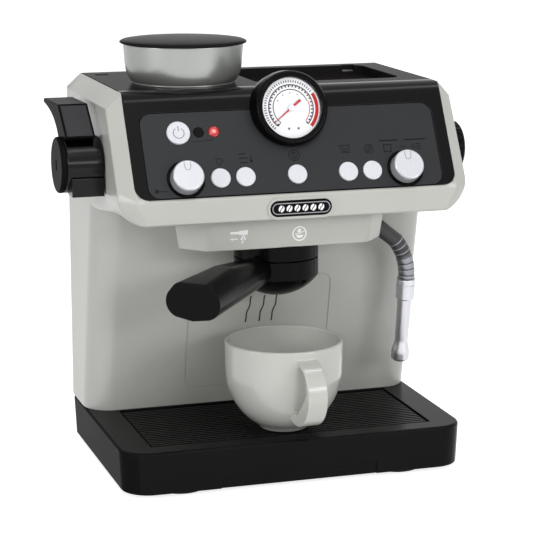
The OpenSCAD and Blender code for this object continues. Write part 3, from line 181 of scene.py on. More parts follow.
# A lighter, warmer black that reflects almost nothing, for the top tray and the hopper lid: the
# overhead light's reflection painted into its colour.
BLACK_TOP_LIT = plastic("black_top_painted_reflection", srgb(34, 32, 32), rough=0.2, tone=0.08, specular=0.002)
BLACK_SATIN = plastic("black_satin", srgb(20, 19, 19), rough=0.5, tone=0.1, specular=0.1)
GRILLE_BLACK = plastic("grille_black", srgb(19, 19, 20), rough=0.36, tone=0.1, specular=0.13)
# Near-black for the grille below its rib tops, darker than the ribs: painted shade in the grooves.
GRILLE_GROOVE_SHADE = plastic("groove_painted_shade", srgb(3, 3, 3), rough=0.5, tone=0.1, specular=0.01)
LEVER_PANEL = plastic("lever_panel", srgb(60, 60, 62), rough=0.4, tone=0.05, specular=0.1)
INLAY = plastic("inlay", srgb(36, 37, 40), rough=0.48, tone=0.04, specular=0.22)
PRINT = plastic("inlay_print", srgb(10, 10, 12), rough=0.5, tone=0.04, specular=0.12)
WHITE_PRINT = plastic("white_print", srgb(245, 245, 245), rough=0.5, tone=0.02)
DARK_PRINT = plastic("dark_print", srgb(34, 38, 38), rough=0.5, tone=0.04)
GREY_PRINT = plastic("grey_print", srgb(98, 98, 108), rough=0.5)
GREY_LINE = plastic("grey_line", srgb(128, 129, 136), rough=0.45)
HUB_PRINT = plastic("hub_print", srgb(222, 222, 230), rough=0.45, tone=0.02)
RIVET_PRINT = plastic("rivet", srgb(88, 88, 92), rough=0.4)
# Light grey for the badge's outline: painted rim highlight.
BADGE_RIM_HIGHLIGHT = plastic("badge_rim_highlight", srgb(150, 150, 154), rough=0.4)
RED_PRINT = plastic("red_print", srgb(186, 26, 26), rough=0.5, specular=0.2)
BLACK_PRINT = plastic("black_print", srgb(14, 14, 16), rough=0.5, specular=0.1)
DIAL_WHITE = plastic("dial_white", srgb(238, 238, 241), rough=0.45, tone=0.01)
PEARL = plastic("pearl", srgb(218, 219, 225), rough=0.32, tone=0.035, mottle=900, grain=900,
                bump=0.3)
KNOB_FACE = plastic("knob_face", srgb(214, 215, 221), rough=0.26, mottle=900, metallic=0.3)
KNOB_SIDE = plastic("knob_side", srgb(176, 177, 181), rough=0.24, tone=0.02, metallic=0.35)
SILVER = plastic("silver", srgb(200, 201, 206), rough=0.31, tone=0.02, metallic=0.84)
HOPPER_SILVER = plastic("hopper_silver", srgb(156, 158, 155), rough=0.32, tone=0.02, metallic=0.6)
HOSE = plastic("hose", srgb(66, 66, 68), rough=0.4, tone=0.05, specular=0.25)
# Light lines on the hose's upper ridges: painted highlight.
HOSE_RIDGE_HIGHLIGHT = plastic("hose_ridge_highlight", srgb(142, 143, 147), rough=0.4, tone=0.02, metallic=0.3)
# Darker grooves between the hose's silver rings: painted shade.
HOSE_GROOVE_SHADE = plastic("hose_groove_shade", srgb(92, 93, 98), rough=0.4, tone=0.02, metallic=0.4)
HOSE_SILVER = plastic("hose_silver", srgb(138, 139, 146), rough=0.3, tone=0.02, metallic=0.8)
RUBBER = plastic("rubber", srgb(16, 16, 16), rough=0.75, tone=0.15, grain=900, bump=0.6,
                 specular=0.15)
NEEDLE_RED = plastic("needle_red", srgb(182, 24, 26), rough=0.35, specular=0.3)
HUB = plastic("needle_hub", srgb(224, 224, 230), rough=0.3, tone=0.02)
ZINC = plastic("zinc", srgb(165, 166, 168), rough=0.32, tone=0.06, metallic=1.0)
NICKEL = plastic("nickel", srgb(188, 186, 178), rough=0.28, tone=0.05, metallic=1.0)
CELL = plastic("cell_jacket", srgb(84, 92, 100), rough=0.3, tone=0.08, metallic=0.5)
BOARD = plastic("board", srgb(40, 96, 60), rough=0.45, tone=0.1)
INNER = plastic("inner", srgb(52, 52, 54), rough=0.55, tone=0.08)
CONE = plastic("speaker_cone", srgb(44, 44, 46), rough=0.7, tone=0.1, grain=700, bump=0.8)
WINDOW = plastic("window", srgb(6, 7, 7), rough=0.12, tone=0.1, specular=0.14)


def lens_material():
    """Thin clear plastic over the dial."""
    m = bpy.data.materials.new("clear_lens")
    m.use_nodes = True
    t = m.node_tree
    bsdf = t.nodes["Principled BSDF"]
    noise = t.nodes.new("ShaderNodeTexNoise")
    noise.inputs["Scale"].default_value = 60
    gloss = t.nodes.new("ShaderNodeMapRange")
    gloss.inputs["To Min"].default_value = 0.02
    gloss.inputs["To Max"].default_value = 0.05
    t.links.new(noise.outputs["Fac"], gloss.inputs["Value"])
    t.links.new(gloss.outputs["Result"], bsdf.inputs["Roughness"])
    bsdf.inputs["Base Color"].default_value = (1, 1, 1, 1)
    bsdf.inputs["Transmission Weight"].default_value = 1
    bsdf.inputs["IOR"].default_value = 1.25
    bsdf.inputs["Alpha"].default_value = 0.1
    return m


def lamp_material():
    """Lit lamp lens: nearly white in the middle and red towards the rim."""
    m = bpy.data.materials.new("lamp_red")
    m.use_nodes = True
    t = m.node_tree
    bsdf = t.nodes["Principled BSDF"]
    coord = t.nodes.new("ShaderNodeTexCoord")
    middle = t.nodes.new("ShaderNodeVectorMath")
    middle.operation = "DISTANCE"
    middle.inputs[1].default_value = PANEL(*LAMP_SPOT)
    t.links.new(coord.outputs["Object"], middle.inputs[0])
    span = t.nodes.new("ShaderNodeMapRange")
    span.inputs["From Max"].default_value = LAMP_R * MM
    t.links.new(middle.outputs["Value"], span.inputs["Value"])
    ramp = t.nodes.new("ShaderNodeValToRGB")
    ramp.color_ramp.elements[0].position = 0.05
    ramp.color_ramp.elements[0].color = srgb(246, 200, 196)
    ramp.color_ramp.elements[1].position = 0.95
    ramp.color_ramp.elements[1].color = srgb(110, 12, 14)
    mid = ramp.color_ramp.elements.new(0.4)
    mid.color = srgb(196, 48, 46)
    t.links.new(span.outputs["Result"], ramp.inputs["Fac"])
    t.links.new(ramp.outputs["Color"], bsdf.inputs["Base Color"])
    t.links.new(ramp.outputs["Color"], bsdf.inputs["Emission Color"])
    bsdf.inputs["Emission Strength"].default_value = 0.22
    bsdf.inputs["Roughness"].default_value = 0.25
    return m


LENS = lens_material()
LAMP = lamp_material()


# ---- Mesh helpers ----

# Edges sharper than this are bevelled, where no other test picks them
BEVEL_FROM = math.radians(32)


def finish_mesh(name, bm, material, body, angle=38, bevel=0.0, segments=3, rounded=None,
                blend=None):
    """Makes the object, with edges under this angle shaded soft.

    rounded picks the edges to bevel, where not all sharp ones are; blend, more soft edges.
    """
    for e in bm.edges:
        e.smooth = len(e.link_faces) == 2 and (e.calc_face_angle(0) < math.radians(angle)
                                               or bool(blend and blend(e)))
    for f in bm.faces:
        f.smooth = True
    if rounded:
        weight = bm.edges.layers.float.new("bevel_weight_edge")
        for e in bm.edges:
            e[weight] = 1.0 if rounded(e) else 0.0
    mesh = bpy.data.meshes.new(name)
    bm.to_mesh(mesh)
    bm.free()
    mesh.materials.append(material)
    o = bpy.data.objects.new(name, mesh)
    bpy.context.scene.collection.objects.link(o)
    if bevel:
        b = o.modifiers.new("soft_edges", "BEVEL")
        b.width = bevel
        b.segments = segments
        b.limit_method = "WEIGHT" if rounded else "ANGLE"
        b.angle_limit = BEVEL_FROM
        b.use_clamp_overlap = False
        b.miter_outer = "MITER_ARC"
    w = o.modifiers.new("even_normals", "WEIGHTED_NORMAL")
    w.keep_sharp = True
    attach(o, body)
    return o


# Vertices nearer than this are welded, and faces flatter than this are joined
WELD = 0.002 * MM
FLAT = math.radians(0.6)


def soften(node, material, bevel, shape=None, others=(), rounded=None, blend=None):
    """The node's own form with its edges rounded. others: (material, test) for some faces."""
    bm = bmesh.new()
    bm.from_mesh(frame["nodes"][node].data)
    bmesh.ops.remove_doubles(bm, verts=bm.verts, dist=WELD)
    bmesh.ops.dissolve_limit(bm, angle_limit=FLAT, verts=bm.verts, edges=bm.edges)
    if shape:
        shape(bm)
    bm.normal_update()
    for f in bm.faces:
        f.material_index = next((i + 1 for i, (_, test) in enumerate(others) if test(f)), 0)
    o = finish_mesh(node + "_soft", bm, material, NODE_BODY[node], bevel=bevel, rounded=rounded,
                    blend=blend)
    for other, _ in others:
        o.data.materials.append(other)
    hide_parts(node)


def spin(bm, place, profile, sides=96):
    """Adds a turned form, put in place by place(u, v, height).

    profile is a line of (radius, height), closed on itself unless it reaches the axis.
    """
    rows = []
    for r, h in profile:
        points = ring_points(max(r, 0.0001), sides)
        rows.append([bm.verts.new(place(u, v, h)) for u, v in points])
    count = len(rows) if min(r for r, _ in profile) > 0 else len(rows) - 1
    for k in range(count):
        for i in range(sides):
            j = (i + 1) % sides
            m = (k + 1) % len(rows)
            bm.faces.new((rows[k][i], rows[k][j], rows[m][j], rows[m][i]))
    bmesh.ops.remove_doubles(bm, verts=[v for row in rows for v in row], dist=1e-6)


def slab(bm, place, outline, h0, h1):
    """Adds an outline drawn out from h0 to h1. Gives its side faces, in the outline's order."""
    low = [bm.verts.new(place(u, v, h0)) for u, v in outline]
    top = [bm.verts.new(place(u, v, h1)) for u, v in outline]
    bm.faces.new(top)
    bm.faces.new(low[::-1])
    n = len(outline)
    return [bm.faces.new((low[i], low[(i + 1) % n], top[(i + 1) % n], top[i])) for i in range(n)]


def upright(x, y, z):
    """Places a turned form on an upright axis at x, y, with its zero height at z."""
    return lambda u, v, h: at(x + u, y + v, z + h)


# Rounding of a turned piece's edges, and the degrees up to which its facets are shaded soft
TURNED_BEVEL = 0.3 * MM
TURNED_ANGLE = 30


def turned(name, material, body, place, profile, sides=96, cut=None, bevel=TURNED_BEVEL):
    """A turned piece. cut is a face that trims off what lies behind it."""
    bm = bmesh.new()
    spin(bm, place, profile, sides)
    if cut:
        geom = bm.verts[:] + bm.edges[:] + bm.faces[:]
        done = bmesh.ops.bisect_plane(bm, geom=geom, plane_co=cut(0, 0), plane_no=-cut.out,
                                      clear_outer=True)
        rim = [e for e in done["geom_cut"] if isinstance(e, bmesh.types.BMEdge)]
        bmesh.ops.edgeloop_fill(bm, edges=rim)
    bmesh.ops.recalc_face_normals(bm, faces=bm.faces)
    return finish_mesh(name, bm, material, body, angle=TURNED_ANGLE, bevel=bevel, segments=2)


# ---- The hood's corners and edges ----

# Rounding of the hood's lower front corners: its middle across, its radius, the cuts that it is
# made from, and the span from front to back over which it fades
HOOD_BOTTOM = 162.6
ROUND_X, ROUND_R, ROUND_CUTS = 91.5, 16.0, 6
ROUND_Y0, ROUND_Y1, FADE_CUTS = -48.0, 2.0, 5
# The last cut lies a whole radius out; the rest allows for the last digits of a float
WHOLE = 1.001


def near_hood_corner(f):
    """Faces that the rounding can reach."""
    ps = [source_mm(v.co) for v in f.verts]
    return (max(abs(p.x) for p in ps) > ROUND_X and min(p.z for p in ps) < HOOD_BOTTOM + ROUND_R
            and max(p.z for p in ps) > HOOD_BOTTOM - 1 and min(p.y for p in ps) < ROUND_Y1)


def round_hood_corners(bm):
    """Turns the square lower corners of the hood into round ones, fading towards the column."""
    lift = HOOD_BOTTOM + ROUND_R
    step, fade = ROUND_R / ROUND_CUTS, (ROUND_Y1 - ROUND_Y0) / FADE_CUTS
    cuts = [((side * (ROUND_X + k * step), 0, 0), (1, 0, 0))
            for side in (-1, 1) for k in range(ROUND_CUTS)]
    cuts += [((0, 0, HOOD_BOTTOM + k * step), (0, 0, 1)) for k in range(1, ROUND_CUTS + 1)]
    cuts += [((0, ROUND_Y0 + k * fade, 0), (0, 1, 0)) for k in range(FADE_CUTS + 1)]
    for point, normal in cuts:
        near = {f for f in bm.faces if near_hood_corner(f)}
        geom = set(near)
        for f in near:
            geom.update(f.verts)
            geom.update(f.edges)
        bmesh.ops.bisect_plane(bm, geom=list(geom), plane_co=at(*point), plane_no=normal,
                               dist=1e-6)
    for v in bm.verts:
        p = source_mm(v.co)
        dx, dz = (abs(p.x) - ROUND_X) / ROUND_R, (lift - p.z) / ROUND_R
        if dx <= 0 or dz <= 0 or dz > WHOLE or dx > WHOLE or p.y > ROUND_Y1:
            continue
        k = min(1, max(0, (ROUND_Y1 - p.y) / (ROUND_Y1 - ROUND_Y0)))
        k = k * k * (3 - 2 * k)
        nx, nz = dx * math.sqrt(1 - dz * dz / 2), dz * math.sqrt(1 - dx * dx / 2)
        x = ROUND_X + (dx + (nx - dx) * k) * ROUND_R
        z = lift - (dz + (nz - dz) * k) * ROUND_R
        v.co = at(math.copysign(x, p.x), p.y, z)


# Bounds of the edges that are rounded, and of the soft ones at the lower front corners: farther
# out than this, over or under this height, and in front of this depth
EDGE_X, EDGE_Z, EDGE_Y = 93.6, 182, 66
CORNER_X, CORNER_Z, CORNER_Y = 88, 183, -25
EDGE_ANGLE, EDGE_LENGTH = math.radians(18), 1.8 * MM


def hood_edge(e):
    """Outer edges of the hood, long and sharp enough to round: its sides and slanted corners."""
    if len(e.link_faces) != 2 or e.calc_face_angle(0) < EDGE_ANGLE:
        return False
    if e.calc_length() < EDGE_LENGTH:
        return False
    ends = [source_mm(v.co) for v in e.verts]
    return all(abs(q.x) > EDGE_X and q.z > EDGE_Z and q.y < EDGE_Y for q in ends)


def hood_corner(e):
    """Edges round the hood's lower front corners, where the faces run into each other."""
    ends = [source_mm(v.co) for v in e.verts]
    return all(abs(q.x) > CORNER_X and q.z < CORNER_Z and q.y < CORNER_Y for q in ends)


# ---- Faces with a look of their own ----

GRILLE_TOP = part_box("drip_grille")[1].z - 0.1 * MM


def faces_groove_shaded(f):
    """All of the grille below the tops of its ribs, painted darker there as shade."""
    return f.calc_center_median().z < GRILLE_TOP


def faces_left_shaded(f):
    """Faces on the left side of the base, which take the black with painted shade."""
    return f.normal.x < -0.55


def faces_panel(f):
    """Faces that look out as the panel does."""
    return f.normal.dot(PANEL.out) > 0.95


# ---- Printed shapes ----


def turned_about(c, x, y, degrees):
    """The point x, y from the middle c, turned about c."""
    t = math.radians(degrees)
    return (c[0] + x * math.cos(t) - y * math.sin(t), c[1] + x * math.sin(t) + y * math.cos(t))


# How deep a print reaches under its face, and the least divisor where a line turns sharply
PRINT_ROOT = 0.1
SHARPEST_MITRE = 0.4


class Print:
    """Thin printed shapes on a plane: each is a closed form that starts under the surface."""

    def __init__(self, name, plane, material, body, off=0.0, height=0.04):
        self.name, self.plane, self.material, self.body = name, plane, material, body
        self.low, self.high = off - PRINT_ROOT, off + height
        self.bm = bmesh.new()

    def fill(self, outline):
        """A filled outline given counter-clockwise."""
        slab(self.bm, self.plane, outline, self.low, self.high)

    def dot(self, c, r, n=24, squash=1.0, turn=0.0):
        """A round or oval spot."""
        self.fill([turned_about(c, x, y * squash, turn) for x, y in ring_points(r, n)])

    def line(self, points, w, closed=False):
        """A line of width w with mitred corners."""
        n = len(points)
        rows = []
        for i, (x, y) in enumerate(points):
            ways = []
            for a, b in ((i - 1, i), (i, i + 1)):
                if closed or (a >= 0 and b < n):
                    (x0, y0), (x1, y1) = points[a % n], points[b % n]
                    d = math.hypot(x1 - x0, y1 - y0)
                    ways.append(((y0 - y1) / d, (x1 - x0) / d))
            nx, ny = sum(k[0] for k in ways), sum(k[1] for k in ways)
            d = math.hypot(nx, ny)
            reach = w / 2 / max(SHARPEST_MITRE, d / len(ways))
            nx, ny = nx / d * reach, ny / d * reach
            corners = ((x + nx, y + ny, self.high), (x - nx, y - ny, self.high),
                       (x - nx, y - ny, self.low), (x + nx, y + ny, self.low))
            rows.append([self.bm.verts.new(self.plane(*q)) for q in corners])
        last = n if closed else n - 1
        for i in range(last):
            p, q = rows[i], rows[(i + 1) % n]
            for k in range(4):
                self.bm.faces.new((p[k], p[(k + 1) % 4], q[(k + 1) % 4], q[k]))
        if not closed:
            self.bm.faces.new(rows[0][::-1])
            self.bm.faces.new(rows[-1])

    def arc(self, c, r, a0, a1, w, n=48):
        """A line of width w round the middle c, from a0 to a1 degrees."""
        closed = abs(a1 - a0) >= 360
        count = n if closed else n + 1
        self.line([turned_about(c, r, 0, a0 + (a1 - a0) * i / n) for i in range(count)], w, closed)

    def done(self):
        """Makes the print an object and gives it."""
        bmesh.ops.recalc_face_normals(self.bm, faces=self.bm.faces)
        return finish_mesh(self.name, self.bm, self.material, self.body)


# ---- CAD nodes with softened edges ----

# Each with its material and the width of its rounded edges in metres
SOFT = {
    "rear_cover": (GREY, 0.0004), "brow_housing": (GREY, 0.0006),
    "control_panel": (PANEL_BLACK, 0.0004), "panel_inlay": (INLAY, 0.0002),
    # The top tray and the hopper lid take the black with painted reflection.
    "top_tray": (BLACK_TOP_LIT, 0.0005), "gauge_housing": (BLACK, 0.0003),
    # The lever's cap takes the black with painted shade.
    "hopper_lid": (BLACK_TOP_LIT, 0.0003), "lever_cap": (BLACK_SHADED, 0.0004),
    "side_knob": (BLACK, 0.0003), "portafilter_handle": (BLACK, 0.0006),
    "wand_collar": (SILVER, 0.0002), "wand_nozzle": (SILVER, 0.0002),
    "cup": (CUP_GREY, 0.0007), "power_button": (PEARL, 0.0003),
    "button_1": (PEARL, 0.0003), "button_2": (PEARL, 0.0003), "button_3": (PEARL, 0.0003),
    "button_4": (PEARL, 0.0003), "button_5": (PEARL, 0.0003),
    "badge_plate": (BLACK, 0.0003), "bottom_cover": (BLACK_SATIN, 0.0003),
    "battery_door": (BLACK_SATIN, 0.0003),
    "foot_front_left": (RUBBER, 0.0004), "foot_front_right": (RUBBER, 0.0004),
    "foot_back_left": (RUBBER, 0.0004), "foot_back_right": (RUBBER, 0.0004),
}
for node, (material, width) in SOFT.items():
    soften(node, material, width)
soften("main_housing", GREY, bevel=0.0011, shape=round_hood_corners, rounded=hood_edge,
       blend=hood_corner)
# The base's left side takes the black with painted shade, darker than its front.
soften("base_housing", BASE_BLACK, bevel=0.0004, others=((BLACK_SHADED, faces_left_shaded),))
# The grille below its rib tops takes the black with painted shade.
soften("drip_grille", GRILLE_BLACK, bevel=0.0002, others=((GRILLE_GROOVE_SHADE, faces_groove_shaded),))
soften("dial_knob_left", KNOB_SIDE, bevel=0.0003, others=((KNOB_FACE, faces_panel),))
soften("dial_knob_right", KNOB_SIDE, bevel=0.0003, others=((KNOB_FACE, faces_panel),))

# ---- Forms of their own: hopper bowl, group head, filter ring and side lever ----

HOPPER_HEIGHT, HOPPER_SPIGOT = 23.6, 2.4


def hopper():
    """Bowl with a waist over its foot, on a spigot that stands in the top cover."""
    low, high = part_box("hopper_bowl")
    middle = source_mm((low + high) / 2)
    foot = high.z / MM - HOPPER_HEIGHT
    outer = [(24.8, -HOPPER_SPIGOT), (24.8, 0), (30.7, 0), (31.0, 0.3), (31.0, 1.0), (31.3, 1.3),
             (31.9, 1.7), (32.8, 3.2), (33.6, 4.7), (34.4, 6.7), (35.0, 9.2), (35.4, 12.4),
             (35.6, 16), (36.2, 22.9), (36.1, 23.5), (35.9, HOPPER_HEIGHT)]
    inner = [(34.3, HOPPER_HEIGHT), (34.2, 23.2), (33.6, 15), (32.6, 8.6), (30.8, 4.6), (28, 2.2),
             (0, 2)]
    o = turned("hopper_bowl_turned", HOPPER_SILVER, "machine", upright(middle.x, middle.y, foot),
               [(0, -HOPPER_SPIGOT)] + outer + inner, sides=128, bevel=0.0)
    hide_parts("hopper_bowl")


# Axis and radius of the brewing group, the seam between head and ring, and the ring's lower rim
GROUP_Y, GROUP_R = -23.4, 25.8
SEAM, SEAM_GAP, RIM = 132.6, 0.4, 121.0
HANDLE_TURN = math.radians(44.2)


def along_handle(u, v, h):
    """A point u across the handle, v over the table and h out from the ring's axis."""
    return at(u * math.cos(HANDLE_TURN) - h * math.sin(HANDLE_TURN),
              GROUP_Y - u * math.sin(HANDLE_TURN) - h * math.cos(HANDLE_TURN), v)


def group_head():
    """Round head under the brow, cut off at the column."""
    r, height, edge = GROUP_R, BROW_LOW - SEAM, 0.3
    profile = [(0, 0), (r - edge, 0), (r, edge), (r, height - edge), (r, height), (0, height)]
    o = turned("group_head_turned", BLACK, "machine", upright(0, GROUP_Y, SEAM), profile,
               cut=COLUMN)
    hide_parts("group_head")


def filter_ring():
    """Ring with a shallow domed cup under it and the neck that the handle is fixed to."""
    r, depth, wall, bore, mouth = GROUP_R, 13.0, 2.6, 15.4, 18
    ball = (r * r + depth * depth) / (2 * depth)
    reach = math.asin(r / ball)
    dome = []
    for i in range(15):
        a = reach * (0.13 + 0.87 * i / 14)
        dome.append((ball * math.sin(a), ball - depth - ball * math.cos(a)))
    top = SEAM - SEAM_GAP - RIM
    inside = [(mouth, top), (mouth, 18.5), (bore, 18.5), (bore, -4.5),
              (bore * 0.6, -depth + wall + 1.6)]
    bm = bmesh.new()
    spin(bm, upright(0, GROUP_Y, RIM),
         [(3.2, dome[0][1] + wall)] + dome + [(r, 0.5), (r, top)] + inside)
    half_width, half_height, middle = 8.2, 5.3, 126.6
    neck = [(half_width * u, middle + half_height * v) for u, v in ring_points(1, 36)]
    slab(bm, along_handle, neck, 21.0, 30.2)
    bmesh.ops.recalc_face_normals(bm, faces=bm.faces)
    o = finish_mesh("filter_ring_turned", bm, BLACK, "portafilter", angle=TURNED_ANGLE,
                    bevel=TURNED_BEVEL, segments=2)
    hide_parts("portafilter_ring")


# The lever's pivot, its barrel from the inner face to the outer one, and where its panel looks
LEVER_Y, LEVER_Z = -17.5, 193.0
BARREL_IN = -108.0
BARREL_OUT = BARREL_IN - 22.0
BARREL_R = 16.6
PANEL_LOOKS = Vector((0, -0.62, 0.78))


def on_lever(u, v, h):
    """A point u back from and v over the lever's pivot, at h across the machine."""
    return at(h, LEVER_Y + u, LEVER_Z + v)


def lever():
    """Side lever: a barrel on the pivot, an arm with a let-in panel, and a block below."""
    bm = bmesh.new()
    spin(bm, on_lever, [(0, BARREL_OUT), (BARREL_R - 0.4, BARREL_OUT), (BARREL_R, BARREL_OUT + 0.4),
                        (BARREL_R, BARREL_IN - 1.4), (BARREL_R - 0.4, BARREL_IN - 0.5),
                        (BARREL_R - 1.2, BARREL_IN), (0, BARREL_IN)])
    # The arm takes the black with painted shade.
    axle_r, panel_slot, arm_shade_slot = 4.4, 1, 2
    spin(bm, on_lever, [(0, BARREL_IN - 1), (axle_r, BARREL_IN - 1), (axle_r, BARREL_IN + 5),
                        (0, BARREL_IN + 5)], sides=32)
    block = [(-16.7, -17.0), (-4, -17.0), (-4, -6), (-16.7, -6)]
    slab(bm, on_lever, block, BARREL_IN - 19.6, BARREL_IN - 0.4)
    start, bend, end = (49.4, 31), (15, 28), (7, 13)
    back = []
    for i in range(17):
        t = i / 16
        back.append(tuple(p * (1 - t) ** 2 + q * 2 * t * (1 - t) + r * t * t
                          for p, q, r in zip(start, bend, end)))
    outline = [(-5.5, 14.5), (-12.9, 17.6), (8, 34.6), (48.6, 33.6), (49.6, 32.6)] + back
    before = set(bm.faces)
    sides = slab(bm, on_lever, outline[::-1], BARREL_OUT - 0.2, BARREL_OUT + 17.6)
    arm = [f for f in bm.faces if f not in before]
    bmesh.ops.recalc_face_normals(bm, faces=bm.faces)
    for f in arm:
        f.material_index = arm_shade_slot
    front = next(f for f in sides if f.normal.dot(PANEL_LOOKS) > 0.97 and f.calc_area() > 2e-4)
    bmesh.ops.inset_region(bm, faces=[front], thickness=1.9 * MM, depth=0)
    front.material_index = panel_slot
    bmesh.ops.inset_region(bm, faces=[front], thickness=0.3 * MM, depth=-0.6 * MM)
    # The barrel takes the black with painted highlight.
    o = finish_mesh("side_lever_formed", bm, BARREL_BLACK_LIT, "side_lever", bevel=0.4 * MM, segments=2)
    o.data.materials.append(LEVER_PANEL)
    o.data.materials.append(BLACK_SHADED)
    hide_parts("side_lever")


hopper()
group_head()
filter_ring()
lever()

# ---- CAD nodes that keep their own mesh ----

PLAIN = {
    "battery_door_screw": ZINC, "base_screws": ZINC, "rear_screws": ZINC, "battery_1": CELL,
    "battery_2": CELL, "battery_3": CELL, "battery_contacts": NICKEL, "knob_retainer_left": INNER,
    "knob_retainer_right": INNER, "lever_retainer": INNER, "side_knob_retainer": INNER,
    "lamp_lens": LAMP, "dark_window": WINDOW, "gauge_dial": DIAL_WHITE, "gauge_lens": LENS,
    "circuit_board": BOARD, "tact_switches": INNER, "speaker": CONE,
}
for node, material in PLAIN.items():
    o = frame["nodes"][node]
    o.data.materials.clear()
    o.data.materials.append(material)

# ---- Steam hose with its rings ----

# Root of the wand in the brow and the wand's lean; the hose runs FIRST millimetres straight out,
# sloping down by FALL, then bends with the radius BEND_R until it points straight down
WAND_ROOT = (54.5, -20.0, 151.5)
WAND_LEAN = math.radians(9.5)
FALL = math.radians(26)
FIRST, BEND_R = 14.0, 40.0
HOSE_LENGTH = FIRST + BEND_R * (math.pi / 2 - FALL)


def on_wand(x, y, z):
    """A point given in the wand's own plane: x out from the brow, z up the wand."""
    return at(WAND_ROOT[0] + x, WAND_ROOT[1] + y * math.cos(WAND_LEAN) - z * math.sin(WAND_LEAN),
              WAND_ROOT[2] + y * math.sin(WAND_LEAN) + z * math.cos(WAND_LEAN))


def hose_point(s):
    """Middle of the hose s millimetres from its root, and its direction."""
    if s <= FIRST:
        return (s * math.cos(FALL), -s * math.sin(FALL)), FALL
    a = FALL + (s - FIRST) / BEND_R
    cx = FIRST * math.cos(FALL) - BEND_R * math.sin(FALL)
    cz = -FIRST * math.sin(FALL) - BEND_R * math.cos(FALL)
    return (cx + BEND_R * math.sin(a), cz + BEND_R * math.cos(a)), a


def hose_rows():
    """Rows of (place along the hose, radius, material slot): thin light lines first, painted
    highlights on the ridges, then rings whose grooves are painted darker as shade.
    """
    # line: the ridge lines, with painted highlight; groove: the grooves, with painted shade.
    plain, line, silver, groove = range(4)
    rows = [(0.0, 3.2, plain), (0.0, 5.0, plain), (6.0, 5.15, plain), (FIRST, 5.1, plain)]
    start, pitch = HOSE_LENGTH - 27.6, 4.2
    for i in range(7):
        s = start + i * pitch
        if i < 3:
            rows += [(s - 0.45, 4.95, plain), (s - 0.2, 5.2, line), (s + 0.2, 5.2, line),
                     (s + 0.45, 4.95, plain), (s + pitch / 2, 5.0, plain)]
        else:
            rows += [(s - 0.35, 4.7, groove), (s - 0.05, 5.0, groove), (s + 0.25, 5.15, silver),
                     (s + 1.8, 5.25, silver), (s + 3.3, 5.15, silver), (s + 3.6, 4.95, groove)]
    return ([r for r in rows if r[0] < HOSE_LENGTH - 0.3]
            + [(HOSE_LENGTH, 4.7, groove), (HOSE_LENGTH, 2.0, groove)])


def hose():
    """The hose with its rings, and the pin that it swings on."""
    rows = hose_rows()
    sides = 48
    bm = bmesh.new()
    loops = []
    for s, r, _ in rows:
        (cx, cz), a = hose_point(s)
        loops.append([bm.verts.new(on_wand(cx + u * math.sin(a), v, cz + u * math.cos(a)))
                      for u, v in ring_points(r, sides)])
    for k in range(len(loops) - 1):
        for i in range(sides):
            j = (i + 1) % sides
            f = bm.faces.new((loops[k][i], loops[k][j], loops[k + 1][j], loops[k + 1][i]))
            f.material_index = rows[k + 1][2]
    bm.faces.new(loops[0][::-1])
    bm.faces.new(loops[-1])
    pin_r = 3
    slab(bm, lambda u, v, h: on_wand(h, u, v), ring_points(pin_r, 20), -5.0, 1.0)
    bmesh.ops.recalc_face_normals(bm, faces=bm.faces)
    o = finish_mesh("steam_hose", bm, HOSE, "steam_wand", angle=60)
    # Slots after the plain hose: ridge lines with painted highlight, silver rings, grooves with
    # painted shade.
    for other in (HOSE_RIDGE_HIGHLIGHT, HOSE_SILVER, HOSE_GROOVE_SHADE):
        o.data.materials.append(other)
    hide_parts("wand_hose")


hose()

# ---- Gauge needle: a pale hub, a thin pointer and a broad tail ----

NEEDLE_TURN = 127.5


def needle():
    """Pointer and tail in one, on a hub whose shaft goes back through the dial."""
    p = Print("needle", GAUGE, NEEDLE_RED, "gauge_needle", off=0.45, height=0.5)
    outline = [(-0.75, -7.4), (0.75, -7.4), (0.55, -1.4), (0.45, 1.2), (0.16, 13.5),
               (-0.16, 13.5), (-0.45, 1.2), (-0.55, -1.4)]
    p.fill([turned_about((0, 0), u, v, NEEDLE_TURN) for u, v in outline])
    o = p.done()
    b = o.modifiers.new("soft_edges", "BEVEL")
    b.width = 0.08 * MM
    b.segments = 2
    bm = bmesh.new()
    spin(bm, GAUGE, [(0, -4.7), (1.0, -4.7), (1.0, 0.3), (2.1, 0.3), (2.1, 1.0), (1.9, 1.3),
                     (1.2, 1.45), (0, 1.5)], sides=32)
    bmesh.ops.recalc_face_normals(bm, faces=bm.faces)
    hub = finish_mesh("needle_hub", bm, HUB, "gauge_needle")
    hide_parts("gauge_needle")


needle()

# ---- Gauge dial, printed ----

# Radius of the dial, and the angles where its scale starts and ends and where it turns red
DIAL_R = 18.0
SCALE_START, SCALE_END, RED_START = 227.0, -44.0, 19.5


def around(r, a):
    """A point at the share r of the dial's radius, a degrees round it."""
    return turned_about((0, 0), DIAL_R * r, 0, a)


